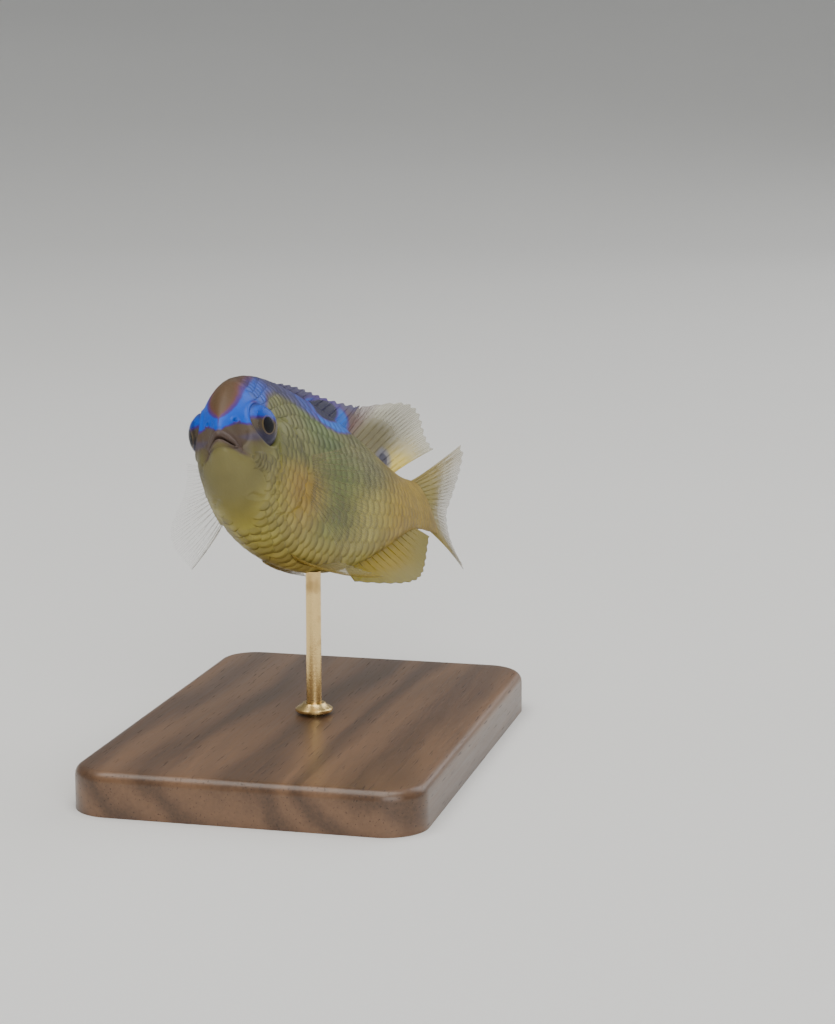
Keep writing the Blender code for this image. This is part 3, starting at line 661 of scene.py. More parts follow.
# %% [markdown]
# The head's forms are raised in the skin itself: a soft rim round each eye with the socket sunk
# inside it, the gill cover with its free edge, the bone in front of it, a fold behind the mouth
# and a pair of nostrils. Each is a height over the skin that depends on the distance to a line in
# the side view, so the scales can follow the same heights later.

# %% Relief of the head
EYE = (0.111, 0.0925, 0.045)    # outermost point of the eye: back, side, up
EYE_RADIUS = 0.050
EYE_HALF_DEPTH = 0.032
EYE_TURN = math.radians(16)     # how far the eyes look forwards
NOSTRIL = (0.034, math.radians(42))
GILL_COVER = ((0.167, 0.050), (0.218, 0.078), (0.274, 0.058), (0.304, 0.002), (0.290, -0.065),
              (0.243, -0.121), (0.190, -0.133), (0.160, -0.082), (0.154, -0.015))
CHEEK_BONE = ((0.166, 0.052), (0.160, 0.010), (0.158, -0.040), (0.150, -0.085), (0.125, -0.112),
              (0.095, -0.110))
MOUTH_FOLD = ((0.052, -0.016), (0.060, 0.002), (0.062, 0.018))
CHIN_FOLD = ((0.054, -0.022), (0.066, -0.040), (0.088, -0.062), (0.112, -0.078))
# For each ridge or groove: its height, its distance from the form that it follows, its spread
COVER_GROOVE, EYE_RIM = (-0.0030, 0.0045, 0.0035), (0.0036, 0.0525, 0.0045)
CHEEK_GROOVE, CHEEK_RIDGE = (-0.0022, 0.0, 0.0035), (0.0016, 0.007, 0.005)
MOUTH_GROOVE, CHIN_GROOVE = (-0.0022, 0.0, 0.0030), (-0.0018, 0.0, 0.0040)
NOSTRIL_RIM = (0.0022, 0.0058, 0.0018)
COVER_RISE, SOCKET_DEPTH, NOSTRIL_DEPTH = 0.0048, 0.024, 0.0060
HEAD_END = 0.36         # how far back the head's forms are looked for


def round_path(line, closed=False, steps=8):
    """Points along the smooth curve through a line's points, in the side view."""
    line = np.array(line, float)
    count = len(line)
    spans = count if closed else count - 1

    def pick(i):
        return line[i % count] if closed else line[min(max(i, 0), count - 1)]

    curve = []
    for i in range(spans):
        a, b, c, d = (pick(i + n) for n in (-1, 0, 1, 2))
        for t in np.arange(steps) / steps:
            curve.append(b + (c - a) * t / 2 + (2 * a - 5 * b + 4 * c - d) * t ** 2 / 2
                         + (3 * b - a - 3 * c + d) * t ** 3 / 2)
    curve.append(pick(spans))
    return np.array(curve)


def to_path(spots, path):
    """Distance of places in the side view from a path."""
    best = np.full(len(spots), np.inf)
    for start, end in zip(path, path[1:]):
        way = end - start
        share = np.clip(((spots - start) @ way) / (way @ way), 0, 1)
        best = np.minimum(best, np.linalg.norm(spots - start - share[:, None] * way, axis=1))
    return best


def bump(x, spread):
    return np.exp(-(x / spread) ** 2)


def ridge(away, form):
    """Height of a ridge or groove at a distance from the form that it follows."""
    height, middle, spread = form
    return height * bump(away - middle, spread)


def step_up(x, start, end):
    """0 before start and 1 past end, smooth between them."""
    t = np.clip((x - start) / (end - start), 0, 1)
    return t * t * (3 - 2 * t)


def eye_axis(side):
    """An eye's middle and the way it looks, on the straight fish in standard lengths."""
    way = np.array([-math.sin(EYE_TURN), side * math.cos(EYE_TURN), 0.0])
    return np.array([EYE[0], side * EYE[1], EYE[2]]) - way * EYE_HALF_DEPTH, way


def from_eye(places):
    """Distance of places (back, side, up) from the nearer eye's axis."""
    found = []
    for side in (1, -1):
        middle, way = eye_axis(side)
        along = (places - middle) @ way
        found.append(np.where(along > -0.5 * EYE_HALF_DEPTH,
                              np.linalg.norm(places - middle - along[:, None] * way, axis=1), 1.0))
    return np.minimum(*found)


cover_path = round_path(GILL_COVER, closed=True)
cover_middle = cover_path.mean(0)


def from_cover(spots):
    """Direction and distance of places in the side view from the gill cover's middle."""
    away = spots - cover_middle
    return np.arctan2(away[:, 1], away[:, 0]), np.linalg.norm(away, axis=1)


def past_cover(spots):
    """How far places in the side view lie outside the gill cover's edge, negative inside it."""
    turn, reach = from_cover(spots)
    return reach - np.interp(turn, *from_cover(cover_path[:-1]), period=2 * np.pi)


cheek_path, fold_path, chin_path = (round_path(line) for line in (CHEEK_BONE, MOUTH_FOLD, CHIN_FOLD))
nostril_spot = in_lengths(section(*(np.array([value]) for value in NOSTRIL)))[0]


def relief(places):
    """Height over the bare skin at places (back, side, up) of the straight fish, all in lengths."""
    spots = places[:, [0, 2]]
    on_side = step_up(np.abs(places[:, 1]), 0.012, 0.030)
    height = np.zeros(len(places))
    head = places[:, 0] < HEAD_END
    near, side_on = spots[head], on_side[head]
    past, cheek = past_cover(near), to_path(near, cheek_path)
    rear = step_up(near[:, 0], 0.15, 0.24)
    cover = COVER_RISE * step_up(-past, -0.0015, 0.0035) + ridge(past, COVER_GROOVE)
    folds = (ridge(cheek, CHEEK_GROOVE) + ridge(cheek, CHEEK_RIDGE)
             + ridge(to_path(near, fold_path), MOUTH_GROOVE)
             + ridge(to_path(near, chin_path), CHIN_GROOVE))
    height[head] = (cover * (0.25 + 0.75 * rear) + folds) * side_on
    eye = from_eye(places)
    nostril = np.linalg.norm(spots - nostril_spot[[0, 2]], axis=1)
    nostril = np.where(np.abs(places[:, 1]) < 0.5 * nostril_spot[1], 1.0, nostril)
    return (height + ridge(eye, EYE_RIM) - SOCKET_DEPTH * step_up(-eye, -0.0495, -0.044)
            + ridge(nostril, NOSTRIL_RIM) - NOSTRIL_DEPTH * step_up(-nostril, -0.0045, -0.001))


print("gill cover is", round(1000 * LENGTH * np.ptp(cover_path[:, 1]), 1), "mm high")

# %% [markdown]
# Every point of the skin keeps two things for later: its place on the straight fish, as an
# attribute that the markings are painted by, and a map of the skin unrolled, girth by length.

# %% The skin as one mesh
SKIN_AROUND, SKIN_ALONG = 256, 300
COAT_DEPTH = 0.0018     # how far the skin lies inside the body's outline, under the scales


def coat_depth(back):
    """How far the skin is set in to make room for scales, in lengths: not at all on the face."""
    return COAT_DEPTH * step_up(back, 0.04, 0.16)


def grids(count, columns, rows):
    """Loose grids in one mesh, with each vertex's grid and its place there as two shares."""
    mesh = bmesh.new()
    for _ in range(count):
        bmesh.ops.create_grid(mesh, x_segments=columns, y_segments=rows, size=0.5)
    mesh.verts.index_update()
    own = np.repeat(np.arange(count), (columns + 1) * (rows + 1))
    return mesh, own, *(np.array([vert.co[:2] for vert in mesh.verts]) + 0.5).T


def keep(mesh, name, values):
    """Keeps three numbers for each vertex as an attribute."""
    layer = mesh.verts.layers.float_vector.new(name)
    for vert, value in zip(mesh.verts, values):
        vert[layer] = value


def settle(mesh, straight):
    """Moves a bmesh's vertices to their places in the pose, and keeps those on the straight fish."""
    for vert, place in zip(mesh.verts, posed(straight)):
        vert.co = place
    keep(mesh, "fish", in_lengths(straight))


def map_grid(mesh, name, u, v):
    """A UV map from each vertex's two shares."""
    layer = mesh.loops.layers.uv.new(name)
    for face in mesh.faces:
        for loop in face.loops:
            loop[layer].uv = (u[loop.vert.index], v[loop.vert.index])


mesh, _, around, forward = grids(1, SKIN_AROUND, SKIN_ALONG)
bare = skin_point(forward, around)
normal = outward(skin_point, np.clip(forward, 0.002, 0.997), around)
lengths = in_lengths(bare)
settle(mesh, bare + normal * ((relief(lengths) - coat_depth(lengths[:, 0])) * LENGTH)[:, None])
map_grid(mesh, "OFBake", around, forward)
skin = finish("fish_skin", sewn(mesh), paint_skin("fish_skin", scaly=False), "skin", "head",
              "lower_jaw", "gill_cover_left", "gill_cover_right", "trunk", "tail_stalk")
print("skin has", len(skin.data.polygons), "faces")

# %% [markdown]
# ## The eyes
#
# A fish has no lids: the ball of the eye sits in its socket under a clear, bulging cornea. The
# ball is a flattened sphere whose front carries the iris. The cornea is a second, clear shell a
# little prouder than the ball, so that light glints on it over a matt iris. The iris carries on
# the blue line above the pupil, is brown beside it and a dull purple below it. A thin golden ring
# runs round the pupil.

# %% Iris and cornea
PUPIL = 0.35            # as a share of the eye's radius, as is all across the iris
GLANCE, DROOP = 0.20, 0.11      # how far the pupil lies before and below the eye's middle
IRIS_LOW, IRIS_SIDE = rgb(0.058, 0.050, 0.095), rgb(0.100, 0.074, 0.046)
IRIS_FIBRES, IRIS_EDGE = rgb(0.35, 0.35, 0.38), rgb(0.04, 0.035, 0.06)
PUPIL_RING, PUPIL_BLACK = rgb(0.40, 0.27, 0.08), rgb(0.004, 0.004, 0.006)
CORNEA_IOR = 1.15       # less than a real one's, so that its edge doesn't turn white


def paint_iris():
    look, tree = new_material("eye_ball")
    above, along = kept(tree, "eye").parts()[:2]
    along, height = along - GLANCE, above + DROOP
    centre = distance(height, along * math.sqrt(1.15))
    turn = height.maths("ARCTAN2", along)
    fibres = noise(add_node(tree, "CombineXYZ", turn * 5.0, centre * 1.5, 0.0), 7.0, 4.0)
    level = above + (fibres - 0.5) * 0.25
    colour = level.step(-0.60, -0.20).between(IRIS_LOW, IRIS_SIDE)
    colour = colour.blend(VIOLET, level.step(0.02, 0.20))
    colour = colour.blend(BLUE, level.step(0.14, 0.32))
    colour = colour.blend(IRIS_FIBRES, fibres.step(0.70, 0.30) * 0.6, "MULTIPLY")
    colour = colour.blend(PUPIL_RING, (centre - PUPIL - 0.045).maths("ABSOLUTE")
                          .step(0.030, 0.008) * 0.45)
    colour = colour.blend(IRIS_EDGE, centre.step(0.86, 1.0) * 0.6)
    colour = colour.blend(PUPIL_BLACK, centre.step(PUPIL + 0.02, PUPIL - 0.02))
    fill_shader(tree, fibres, 0.00003, Base_Color=colour, Roughness=fibres * 0.2 + 0.25,
                Specular_IOR_Level=0.25)
    return look


def paint_cornea():
    look, tree = new_material("eye_cornea")
    place = kept(tree, "eye")
    centre = distance(*place.parts()[:2])
    fill_shader(tree, Base_Color=centre.step(0.55, 1.0).between(rgb(1, 1, 1), rgb(0.80, 0.82, 0.86)),
                Roughness=noise(place, 12.0) * 0.03 + 0.01, Transmission_Weight=1.0, IOR=CORNEA_IOR)
    return look


print("pupil is", round(2000 * LENGTH * EYE_RADIUS * PUPIL, 1), "mm across")

# %% Balls and corneas
SIDES = (1, "left"), (-1, "right")
CORNEA_PROUD = 0.0035   # how far the clear shell stands over the ball, in standard lengths
CORNEA_REACH = 0.95     # its radius, as a share of the ball's
EYE_POINTS, EYE_RINGS = 64, 40


def eye_shell(name, side, radius, depth, look, *nodes):
    """A flattened sphere set on an eye's axis, in the pose, with its own places kept."""
    mesh = bmesh.new()
    bmesh.ops.create_uvsphere(mesh, u_segments=EYE_POINTS, v_segments=EYE_RINGS, radius=1.0)
    middle, way = eye_axis(side)
    turn = Vector((-way[0], way[1], way[2])).to_track_quat("Z", "X").to_matrix()
    ball = np.array([vert.co for vert in mesh.verts])
    keep(mesh, "eye", ball * (1, side, 1))
    settle(mesh, ball * (radius, radius, depth) @ np.array(turn).T * LENGTH + at(*middle))
    bmesh.ops.recalc_face_normals(mesh, faces=mesh.faces)
    finish(name, mesh, look, "eye", *nodes)


iris_look, cornea_look = paint_iris(), paint_cornea()
for side, word in SIDES:
    eye_shell(f"eye_ball_{word}", side, EYE_RADIUS, EYE_HALF_DEPTH, iris_look, f"eye_{word}")
    eye_shell(f"eye_cornea_{word}", side, EYE_RADIUS * CORNEA_REACH,
              EYE_HALF_DEPTH + CORNEA_PROUD, cornea_look)
print("eye is", round(2000 * LENGTH * EYE_RADIUS, 1), "mm across")

# %% [markdown]
# ## The scales
#
# Scales grow in rows along the fish, each row half a scale behind its neighbours. A scale's front
# is rooted in the skin under the ones before it, and its round rear edge lies over the next ones.
# Here each scale is a small grid bent to a fan, laid on the skin by the same formula as the skin
# itself and tilted so that its rear edge stands proud. The rows keep an even height by arc length
# from the middle of the side, so they run out at the back and belly as a real fish's do.

# %% Where the scales lie
SCALE_STEP = 0.0300     # from scale to scale along a row at mid-body
SCALE_ROW = 0.0350      # from row to row
SCALE_SIZE = smooth(((0.05, 0.42), (0.12, 0.52), (0.20, 0.74), (0.30, 0.95), (0.45, 1.0),
                     (0.65, 0.92), (0.80, 0.76), (0.92, 0.62), (1.05, 0.46)))
SCALES_FROM, SCALES_TO = 0.055, 1.045
ROOT_TAPER = 0.075      # how far onto the tail fin the scaly root would thin out to nothing
TABLE_BACKS = np.linspace(0.03, 1.0, 98)
TABLE_SHARES = np.linspace(-1, 1, 81)
QUARTER = 90            # steps round a ring from the back to the middle of the side
MOST_ROWS = 22          # rows of scales that are tried on either side of the middle row


def angle_table():
    """For each ring, its two arc lengths from mid-side and the angle at each share of them."""
    angles = np.linspace(0, np.pi, 2 * QUARTER + 1)
    lengths, table = [], []
    for back in TABLE_BACKS:
        points = section(np.full(len(angles), back), angles) / LENGTH
        arc = np.concatenate([[0], np.cumsum(np.linalg.norm(np.diff(points, axis=0), axis=1))])
        arc = arc[QUARTER] - arc
        up, down = arc[0], -arc[-1]
        wanted = np.where(TABLE_SHARES > 0, TABLE_SHARES * up, TABLE_SHARES * down)
        table.append(np.interp(wanted, arc[::-1], angles[::-1]))
        lengths.append((up, down))
    return np.array(lengths), np.array(table)


ARCS, ANGLES = angle_table()


def arcs_at(back):
    """Arc lengths from mid-side up to the back and down to the belly."""
    return (np.interp(back, TABLE_BACKS, arc) for arc in ARCS.T)


def in_table(values, heads):
    """Row of a table of even steps that values fall in, and how far on to the next one."""
    row = np.clip((values - heads[0]) / (heads[1] - heads[0]), 0, len(heads) - 1.001)
    return row.astype(int), row % 1


def angle_at(back, arc):
    """Angle of places given by arc length over the middle of the side, past the ridges too."""
    up, down = arcs_at(back)
    share = np.where(arc > 0, arc / up, arc / down)
    over = np.abs(share) > 1
    folded = np.where(over, np.sign(share) * (2 - np.abs(share)), share)
    (i, s), (j, t) = in_table(back, TABLE_BACKS), in_table(folded, TABLE_SHARES)
    angle = ((ANGLES[i, j] * (1 - t) + ANGLES[i, j + 1] * t) * (1 - s)
             + (ANGLES[i + 1, j] * (1 - t) + ANGLES[i + 1, j + 1] * t) * s)
    return np.where(over & (share > 0), -angle, np.where(over, 2 * np.pi - angle, angle))


def body_surface(back, angle):
    """Bare skin behind the mouth, by ring and angle, thinning out over the tail fin's root."""
    ring, past = np.clip(back, FACE_START, 1.0), np.maximum(back - 1.0, 0)
    thin = np.maximum(1 - (past / ROOT_TAPER) ** 1.5, 0.1)
    return section(ring, angle, width=half_width(ring) * thin) + at(past, 0, 0)


def scale_places():
    """Distance back and arc length of each scale's middle on one side."""
    stations = [SCALES_FROM]
    while stations[-1] < SCALES_TO:
        stations.append(stations[-1] + SCALE_STEP * float(SCALE_SIZE(stations[-1])))
    stations = np.array(stations)
    found = []
    for row in range(-MOST_ROWS, MOST_ROWS + 1):
        index = np.arange(len(stations) - 1) + 0.5 * (row % 2)
        back = np.interp(index, np.arange(len(stations)), stations)
        arc = row * SCALE_ROW * SCALE_SIZE(back)
        up, down = arcs_at(back)
        inside = (arc < up * 1.01) & (-arc < down * 1.01)
        found += zip(back[inside], arc[inside])
    return np.array(found)


places = scale_places()
print("a side could take", len(places), "scales")

# %% [markdown]
# The snout, the lips, the front of the forehead and of the throat and the rims of the eyes stay
# bare, and no scale crosses the free edge of the gill cover.

# %% Bare places and the scale's own form
def scaled(middles):
    """Which scale middles (back, side, up) lie where scales grow."""
    back, side, up = middles.T
    snout = back - 0.35 * np.maximum(0, 0.05 - np.abs(up - 0.02)) < 0.060
    cheek = (back < 0.120) & (up > -0.035) & (up < 0.06)
    cover_edge = (np.abs(past_cover(middles[:, [0, 2]]) - 0.001) < 0.0065) & (back > 0.175)
    forehead = (back < 0.110) & (up > 0.06)
    throat = (back + 0.9 * np.abs(side) < 0.165) & (up < -0.06)
    return ~(snout | cheek | cover_edge | forehead | throat) & (from_eye(middles) > 0.066)


SCALE_COLUMNS, SCALE_ROWS = 6, 4
SCALE_LONG, SCALE_HIGH = 2.2, 0.92      # length and half height, in steps and rows
SCALE_LIFT = 0.0016                     # how far its rear edge stands over the skin
SCALE_ROOT = -0.0010
SCALE_CROWN = 0.0004                    # how much its middle is raised over its sides
SCALE_THICKNESS = 0.00004
PATCH = 0.003                           # a scale's width on the unrolled skin


def lay_scales(name, sign, backs, arcs, look):
    """Scales of one side as one mesh: sign is 1 for the left side and -1 for the right."""
    mesh, own, across, along = grids(len(backs), SCALE_COLUMNS, SCALE_ROWS)
    across = 2 * across - 1
    back, arc = backs[own], arcs[own]
    size = SCALE_SIZE(back)
    edge = 0.58 + 0.42 * np.sqrt(np.clip(1 - 0.96 * across ** 2, 0, 1))
    reach = along * edge
    wide = across * (0.80 + 0.20 * np.sin(np.pi * np.clip(along + 0.15, 0, 1)))
    there = back + (reach - 0.42) * SCALE_LONG * SCALE_STEP * size
    arc_there = arc + wide * SCALE_HIGH * SCALE_ROW * size
    angle = angle_at(there, arc_there)
    bare = body_surface(there, sign * angle)
    normal = outward(body_surface, there, sign * angle)
    over = (SCALE_ROOT + (SCALE_LIFT - SCALE_ROOT) * reach
            + SCALE_CROWN * (1 - across ** 2) * along) * size
    height = relief(in_lengths(bare)) - coat_depth(there) + over
    settle(mesh, bare + normal * (height * LENGTH)[:, None])
    u = (sign * angle_at(back, arc) / (2 * np.pi)) % 1.0 + PATCH * across / 2
    v = (back - FACE_START) / (1 - FACE_START) * 0.98 + PATCH * (along - 0.5)
    map_grid(mesh, "OFBake", u, v)
    map_grid(mesh, "scale", across / 2 + 0.5, reach)
    if sign > 0:
        bmesh.ops.reverse_faces(mesh, faces=mesh.faces)
    thicken(finish(name, mesh, look, "skin"), SCALE_THICKNESS, -1.0)


scale_look = paint_skin("fish_scales", scaly=True)
for side, word in SIDES:
    middles = in_lengths(body_surface(places[:, 0], side * angle_at(*places.T)))
    grown = places[scaled(middles)]
    lay_scales(f"scales_{word}", side, *grown.T, scale_look)
    print(word, "side has", len(grown), "scales")

# %% [markdown]
# ## The fins
#
# A fin is a web of skin, about as thin as paper, stretched over rays. In the front part of the
# back fin the rays are stiff, pointed spines. All others are soft rays, which split into two and
# then four towards the edge, like a paint brush. Web and rays of a fin follow one surface, given
# by a share across the fin from its first ray to its last and a share out along the ray. It is
# the surface of the packed solid, so the finer fin takes that solid's place.

# %% Surfaces of the fins on the back and belly
FIN_SINK = 0.0016       # how deep a fin's root starts under the skin, in metres
SPINES, SPINY_BASE = 13, (0.265, 0.650)
SOFT_RAYS, SOFT_BASE = 12, (0.668, 0.865)
ANAL_RAYS, ANAL_BASE = 14, (0.57, 0.860)
TAIL_RAYS, PECTORAL_RAYS, PELVIC_RAYS = 17, 16, 6
BOWED = 0.35            # how far across a fin its bow to the left takes to grow to its full size


def stacked(x, y, z):
    return np.stack(np.broadcast_arrays(x, y, z), -1)


def median_fin(base, height, sign, length, lean, curl, ruffle, bow=0.0):
    """Surface of a fin on the back or belly: rays lean back, curl back and bow to the left."""
    def surface(across, out):
        back = base[0] + (base[1] - base[0]) * across
        root = at(back, 0, sign * height(back)) - (0, 0, sign * FIN_SINK)
        angle = np.radians(lean[0] + (lean[1] - lean[0]) * across)
        reach = (length(across) * LENGTH + FIN_SINK) * out
        way = stacked(-np.sin(angle), 0, sign * np.cos(angle))
        curled = np.array((-1, 0, -0.3 * sign)) * (curl * reach * out)[:, None]
        bowed = bow * np.sin(np.pi / 2 * np.clip(across / BOWED, 0, 1))
        sway = ruffle * out * np.sin(across * 2.2 * np.pi) + bowed * out ** 2
        return root + way * reach[:, None] + curled + at(0 * sway, sway, 0)
    return surface


spiny_surface = median_fin(SPINY_BASE, back_height, 1,
                           lambda x: 0.062 + 0.045 * x ** 0.7 + 0.095 * x ** 5,
                           (66, 57), 0.05, 0.003)
soft_surface = median_fin(SOFT_BASE, back_height, 1,
                          lambda x: 0.200 + 0.135 * bump(x - 0.52, 0.36) - 0.030 * x,
                          (57, 68), 0.03, 0.010, 0.05)
anal_surface = median_fin(ANAL_BASE, belly_depth, -1,
                          lambda x: 0.110 * bump(x - 0.55, 0.53) + 0.015 * x,
                          (30, 68), 0.075, 0.010)


def tail_surface(across, out):
    """The tail fin: rays fan out from the stalk to two lobes with a shallow fork between."""
    height = 1 - 2 * across
    angle = np.radians(np.where(height > 0, 16, 13)) * height
    lobe = np.abs(height)
    reach = (0.19 + np.where(height > 0, 0.11, 0.08) * lobe ** 1.6
             - 0.03 * np.maximum(0, lobe - 0.86) / 0.14)
    side = 0.018 * np.sin(height * 2.5) * out + 0.05 * np.maximum(0, height) * out ** 2
    up = (0.066 * height + np.sin(angle) * reach * out
          + np.where(height > 0, 0.035, 0.025) * height * out ** 2)
    return at(0.985 + np.cos(angle) * reach * out, side, up)


longest = np.linalg.norm(np.diff(soft_surface(np.full(2, 0.5), np.array([0.0, 1.0])), axis=0))
print("middle soft ray", round(1000 * longest, 1), "mm")

# %% [markdown]
# The paired fins grow from the sides and the breast: the pectorals as round fans behind the gill
# covers, the left one laid back along the flank and the right one held out, the pelvics as narrow
# blades behind the throat.

# %% Surfaces of the paired fins
def side_at(back, up):
    """Half width of the body at a place in the side view, in standard lengths."""
    reach = np.where(up > 0, back_height(back), belly_depth(back))
    share = np.minimum(1, np.abs(up) / reach)
    pinch = np.where(up > 0, PINCH, belly_pinch(back))
    return half_width(back) * np.sqrt(1 - share ** 2) * (1 - pinch * share ** 2)


PECTORAL_FAN = -26, 40  # the way of its first and its last ray in degrees
PECTORAL_AXES = {1: ((-0.80, 0.50, -0.22), (-0.10, 0.10, -1.0)),
                 -1: ((-0.52, -0.84, -0.08), (0.10, -0.10, -1.0))}


def pectoral_surface(side):
    axis, down = (np.array(line) for line in PECTORAL_AXES[side])
    axis /= np.linalg.norm(axis)
    down = down - axis * (down @ axis)
    down /= np.linalg.norm(down)
    face = np.cross(axis, down)

    def surface(across, out):
        back, up = 0.315 - 0.01 * across, 0.012 - 0.062 * across
        root = at(back, side * (side_at(back, up) - 0.024), up)
        angle = np.radians(PECTORAL_FAN[0] + (PECTORAL_FAN[1] - PECTORAL_FAN[0]) * across)
        reach = 0.26 * (0.60 + 0.40 * np.sin(np.pi * np.minimum(1, 0.16 + 0.74 * across)) ** 0.8)
        way = axis * np.cos(angle)[:, None] + down * np.sin(angle)[:, None]
        cup = face * (0.035 * out ** 2 - 0.012 * np.sin(3 * np.pi * across) * out)[:, None]
        return root + (way * (reach * out)[:, None] + cup) * LENGTH
    return surface


# For each pelvic fin: its length, how far it leans outwards and down at its first ray, and how
# much less of each at its last. The right one lies close to the belly, the left one hangs free.
PELVIC_POSE = {1: (0.27, 0.15, 0.07, -0.29, 0.12), -1: (0.24, 0.12, 0.08, -0.10, 0.07)}


def pelvic_surface(side):
    length, lean, less_lean, drop, less_drop = PELVIC_POSE[side]

    def surface(across, out):
        back, place = 0.320 + 0.050 * across, 0.036 - 0.014 * across
        root = at(back, side * place, -belly_depth(back) * 0.95)
        angle = np.radians(4 + 26 * across)
        reach = length - 0.12 * across ** 0.8
        way = stacked(-np.cos(angle), side * (lean - less_lean * across),
                      drop + less_drop * across)
        curl = np.array((0, side * 0.02, 0.03)) * (out ** 2)[:, None]
        return root + (way * (reach * out)[:, None] + curl) * LENGTH
    return surface


print("a pectoral fan opens", PECTORAL_FAN[1] - PECTORAL_FAN[0], "degrees")

# %% [markdown]
# The web is a fine grid over the surface, drawn in between the rays at its edge. Each ray is a
# row of rings along the surface, thinner towards its tip. A soft ray is made of filaments that
# lie together at the root and part at two forks.

# %% Webs and rays
WEB_THICKNESS = 0.00010
WEB_STEPS, WEB_ROWS = 6, 40     # columns between two rays, rows from root to edge
RAY_SIDES = 6
# For each fork of a soft ray: where it lies along the ray, how far its filaments swerve, in gaps
# between rays, over how much of the ray, and how far the filament before it overlaps them
FORKS = (0.42, 0.24, 0.35, 0.03), (0.70, 0.11, 0.22, 0.02)
THINNED = (1.0, 0.70, 0.50)     # thickness of a filament after no fork, one and two
STIFF, SOFT = (18, 0.85), (10, 0.72)    # a ray's rings, and how much thinner its tip is


def make_web(name, surface, rays, notch, look, slot, *nodes):
    """The web of a fin as a sheet, drawn in by a notch between two rays."""
    mesh, _, across, out = grids(1, (rays - 1) * WEB_STEPS, WEB_ROWS)
    drawn = notch * np.sin(np.pi * across * (rays - 1)) ** 2 * out ** 2
    settle(mesh, surface(across, out * (1 - drawn)))
    keep(mesh, "fin", stacked(across, out, 0.0))
    map_grid(mesh, "OFBake", across, out)
    thicken(finish(name, mesh, look, slot, *nodes), WEB_THICKNESS, 0.0)


def filaments(rays):
    """Each filament of the soft rays: its ray, where it starts and ends, and its two swerves."""
    (first, _, _, over), (second, _, _, further) = FORKS
    found = []
    for ray in range(rays):
        found.append((ray, 0.0, first + over, 0, 0))
        found += [(ray, first, second + further, one, 0) for one in (-1, 1)]
        found += [(ray, second, 1.0, one, two) for one in (-1, 1) for two in (-1, 1)]
    return found


def make_rays(name, surface, rays, radius, spiny, look, slot):
    """The rays of a fin as closed, tapering rods in one mesh."""
    parts = [(ray, 0.0, 1.0, 0, 0) for ray in range(rays)] if spiny else filaments(rays)
    rings, tapered = STIFF if spiny else SOFT
    gap = 1 / (rays - 1)
    mesh, own, around, along = grids(len(parts), RAY_SIDES, rings)
    ray, start, end, one, two = np.array(parts, float)[own].T
    out = start + (end - start) * along
    swerve = sum(way * wide * step_up(out, fork, fork + run)
                 for way, (fork, wide, run, _) in zip((one, two), FORKS))
    inset = 1 - 0.06 * np.abs(2 * ray * gap - 1) ** 8
    across = np.clip(0.5 + ((ray + swerve) * gap - 0.5) * inset, 0, 1)
    onward = surface(across, out + 0.01) - surface(across, out - 0.01)
    before, after = (surface(np.clip(across + step, 0, 1), out) for step in (-0.01, 0.01))
    facing = unit(np.cross(onward, after - before))
    sideways = unit(np.cross(facing, onward))
    forked = (one != 0).astype(int) + (two != 0)
    closed = np.where((along < 1e-4) | (along > 1 - 1e-4), 0.02, 1.0)
    size = radius * (1 - tapered * out) * np.array(THINNED)[forked] * closed
    turn = 2 * np.pi * around
    ring = facing * (1.15 * np.cos(turn))[:, None] + sideways * np.sin(turn)[:, None]
    settle(mesh, surface(across, out) + ring * size[:, None])
    keep(mesh, "fin", stacked(across, out, 0.0))
    map_grid(mesh, "OFBake", (ray + 0.1 + 0.8 * around) / rays, out)
    finish(name, sewn(mesh, 2e-7), look, slot)


print("a soft ray has", len(filaments(1)), "filaments")

# %% [markdown]
# A web is most coloured at its root and clearest at its edge, with fine streaks along the rays.
# The spines' web is dusky purple and hardly lets light through, the soft webs fade from yellow to
# pale, and the breast fins are nearly as clear as glass. One group mixes these for every fin, and
# each fin gives it its own colours and how much it covers at the root and at the edge.

# %% Paint of the fins
STREAK_SHADE, RAY_SHADE = rgb(0.78, 0.74, 0.70), rgb(0.92, 0.88, 0.84)
fin_tint, (fin, root, edge, front, rear, root_cover, edge_cover), outlets = paint_group(
    "fin_tint", {"Fin": "Vector", "Root": "Color", "Edge": "Color", "Front": "Color",
                 "Rear": "Color", "Root Cover": "Float", "Edge Cover": "Float"},
    {"Color": "Color", "Cover": "Float", "Height": "Float"})
across, out = fin.parts()[:2]
streaks = noise(fin, 1.0, 4.0, (120.0, 5.0, 1.0))
far = (out + (streaks - 0.5) * 0.30 + (noise(fin, 3.0) - 0.5) * 0.25).step(0.42, 1.0)
colour = root.blend(rear, (across + (streaks - 0.5) * 0.1).step(0.56, 0.90)).blend(edge, far)
colour = colour.blend(front, (across + (streaks - 0.5) * 0.1).step(0.20, 0.02))
colour = colour.blend(STREAK_SHADE, streaks.step(0.65, 0.35) * 0.5, "MULTIPLY")
cover = root_cover + (edge_cover - root_cover) * far + (streaks - 0.5) * 0.10
for field, outlet in zip((colour, cover, streaks), outlets):
    feed(fin_tint, field, outlet)

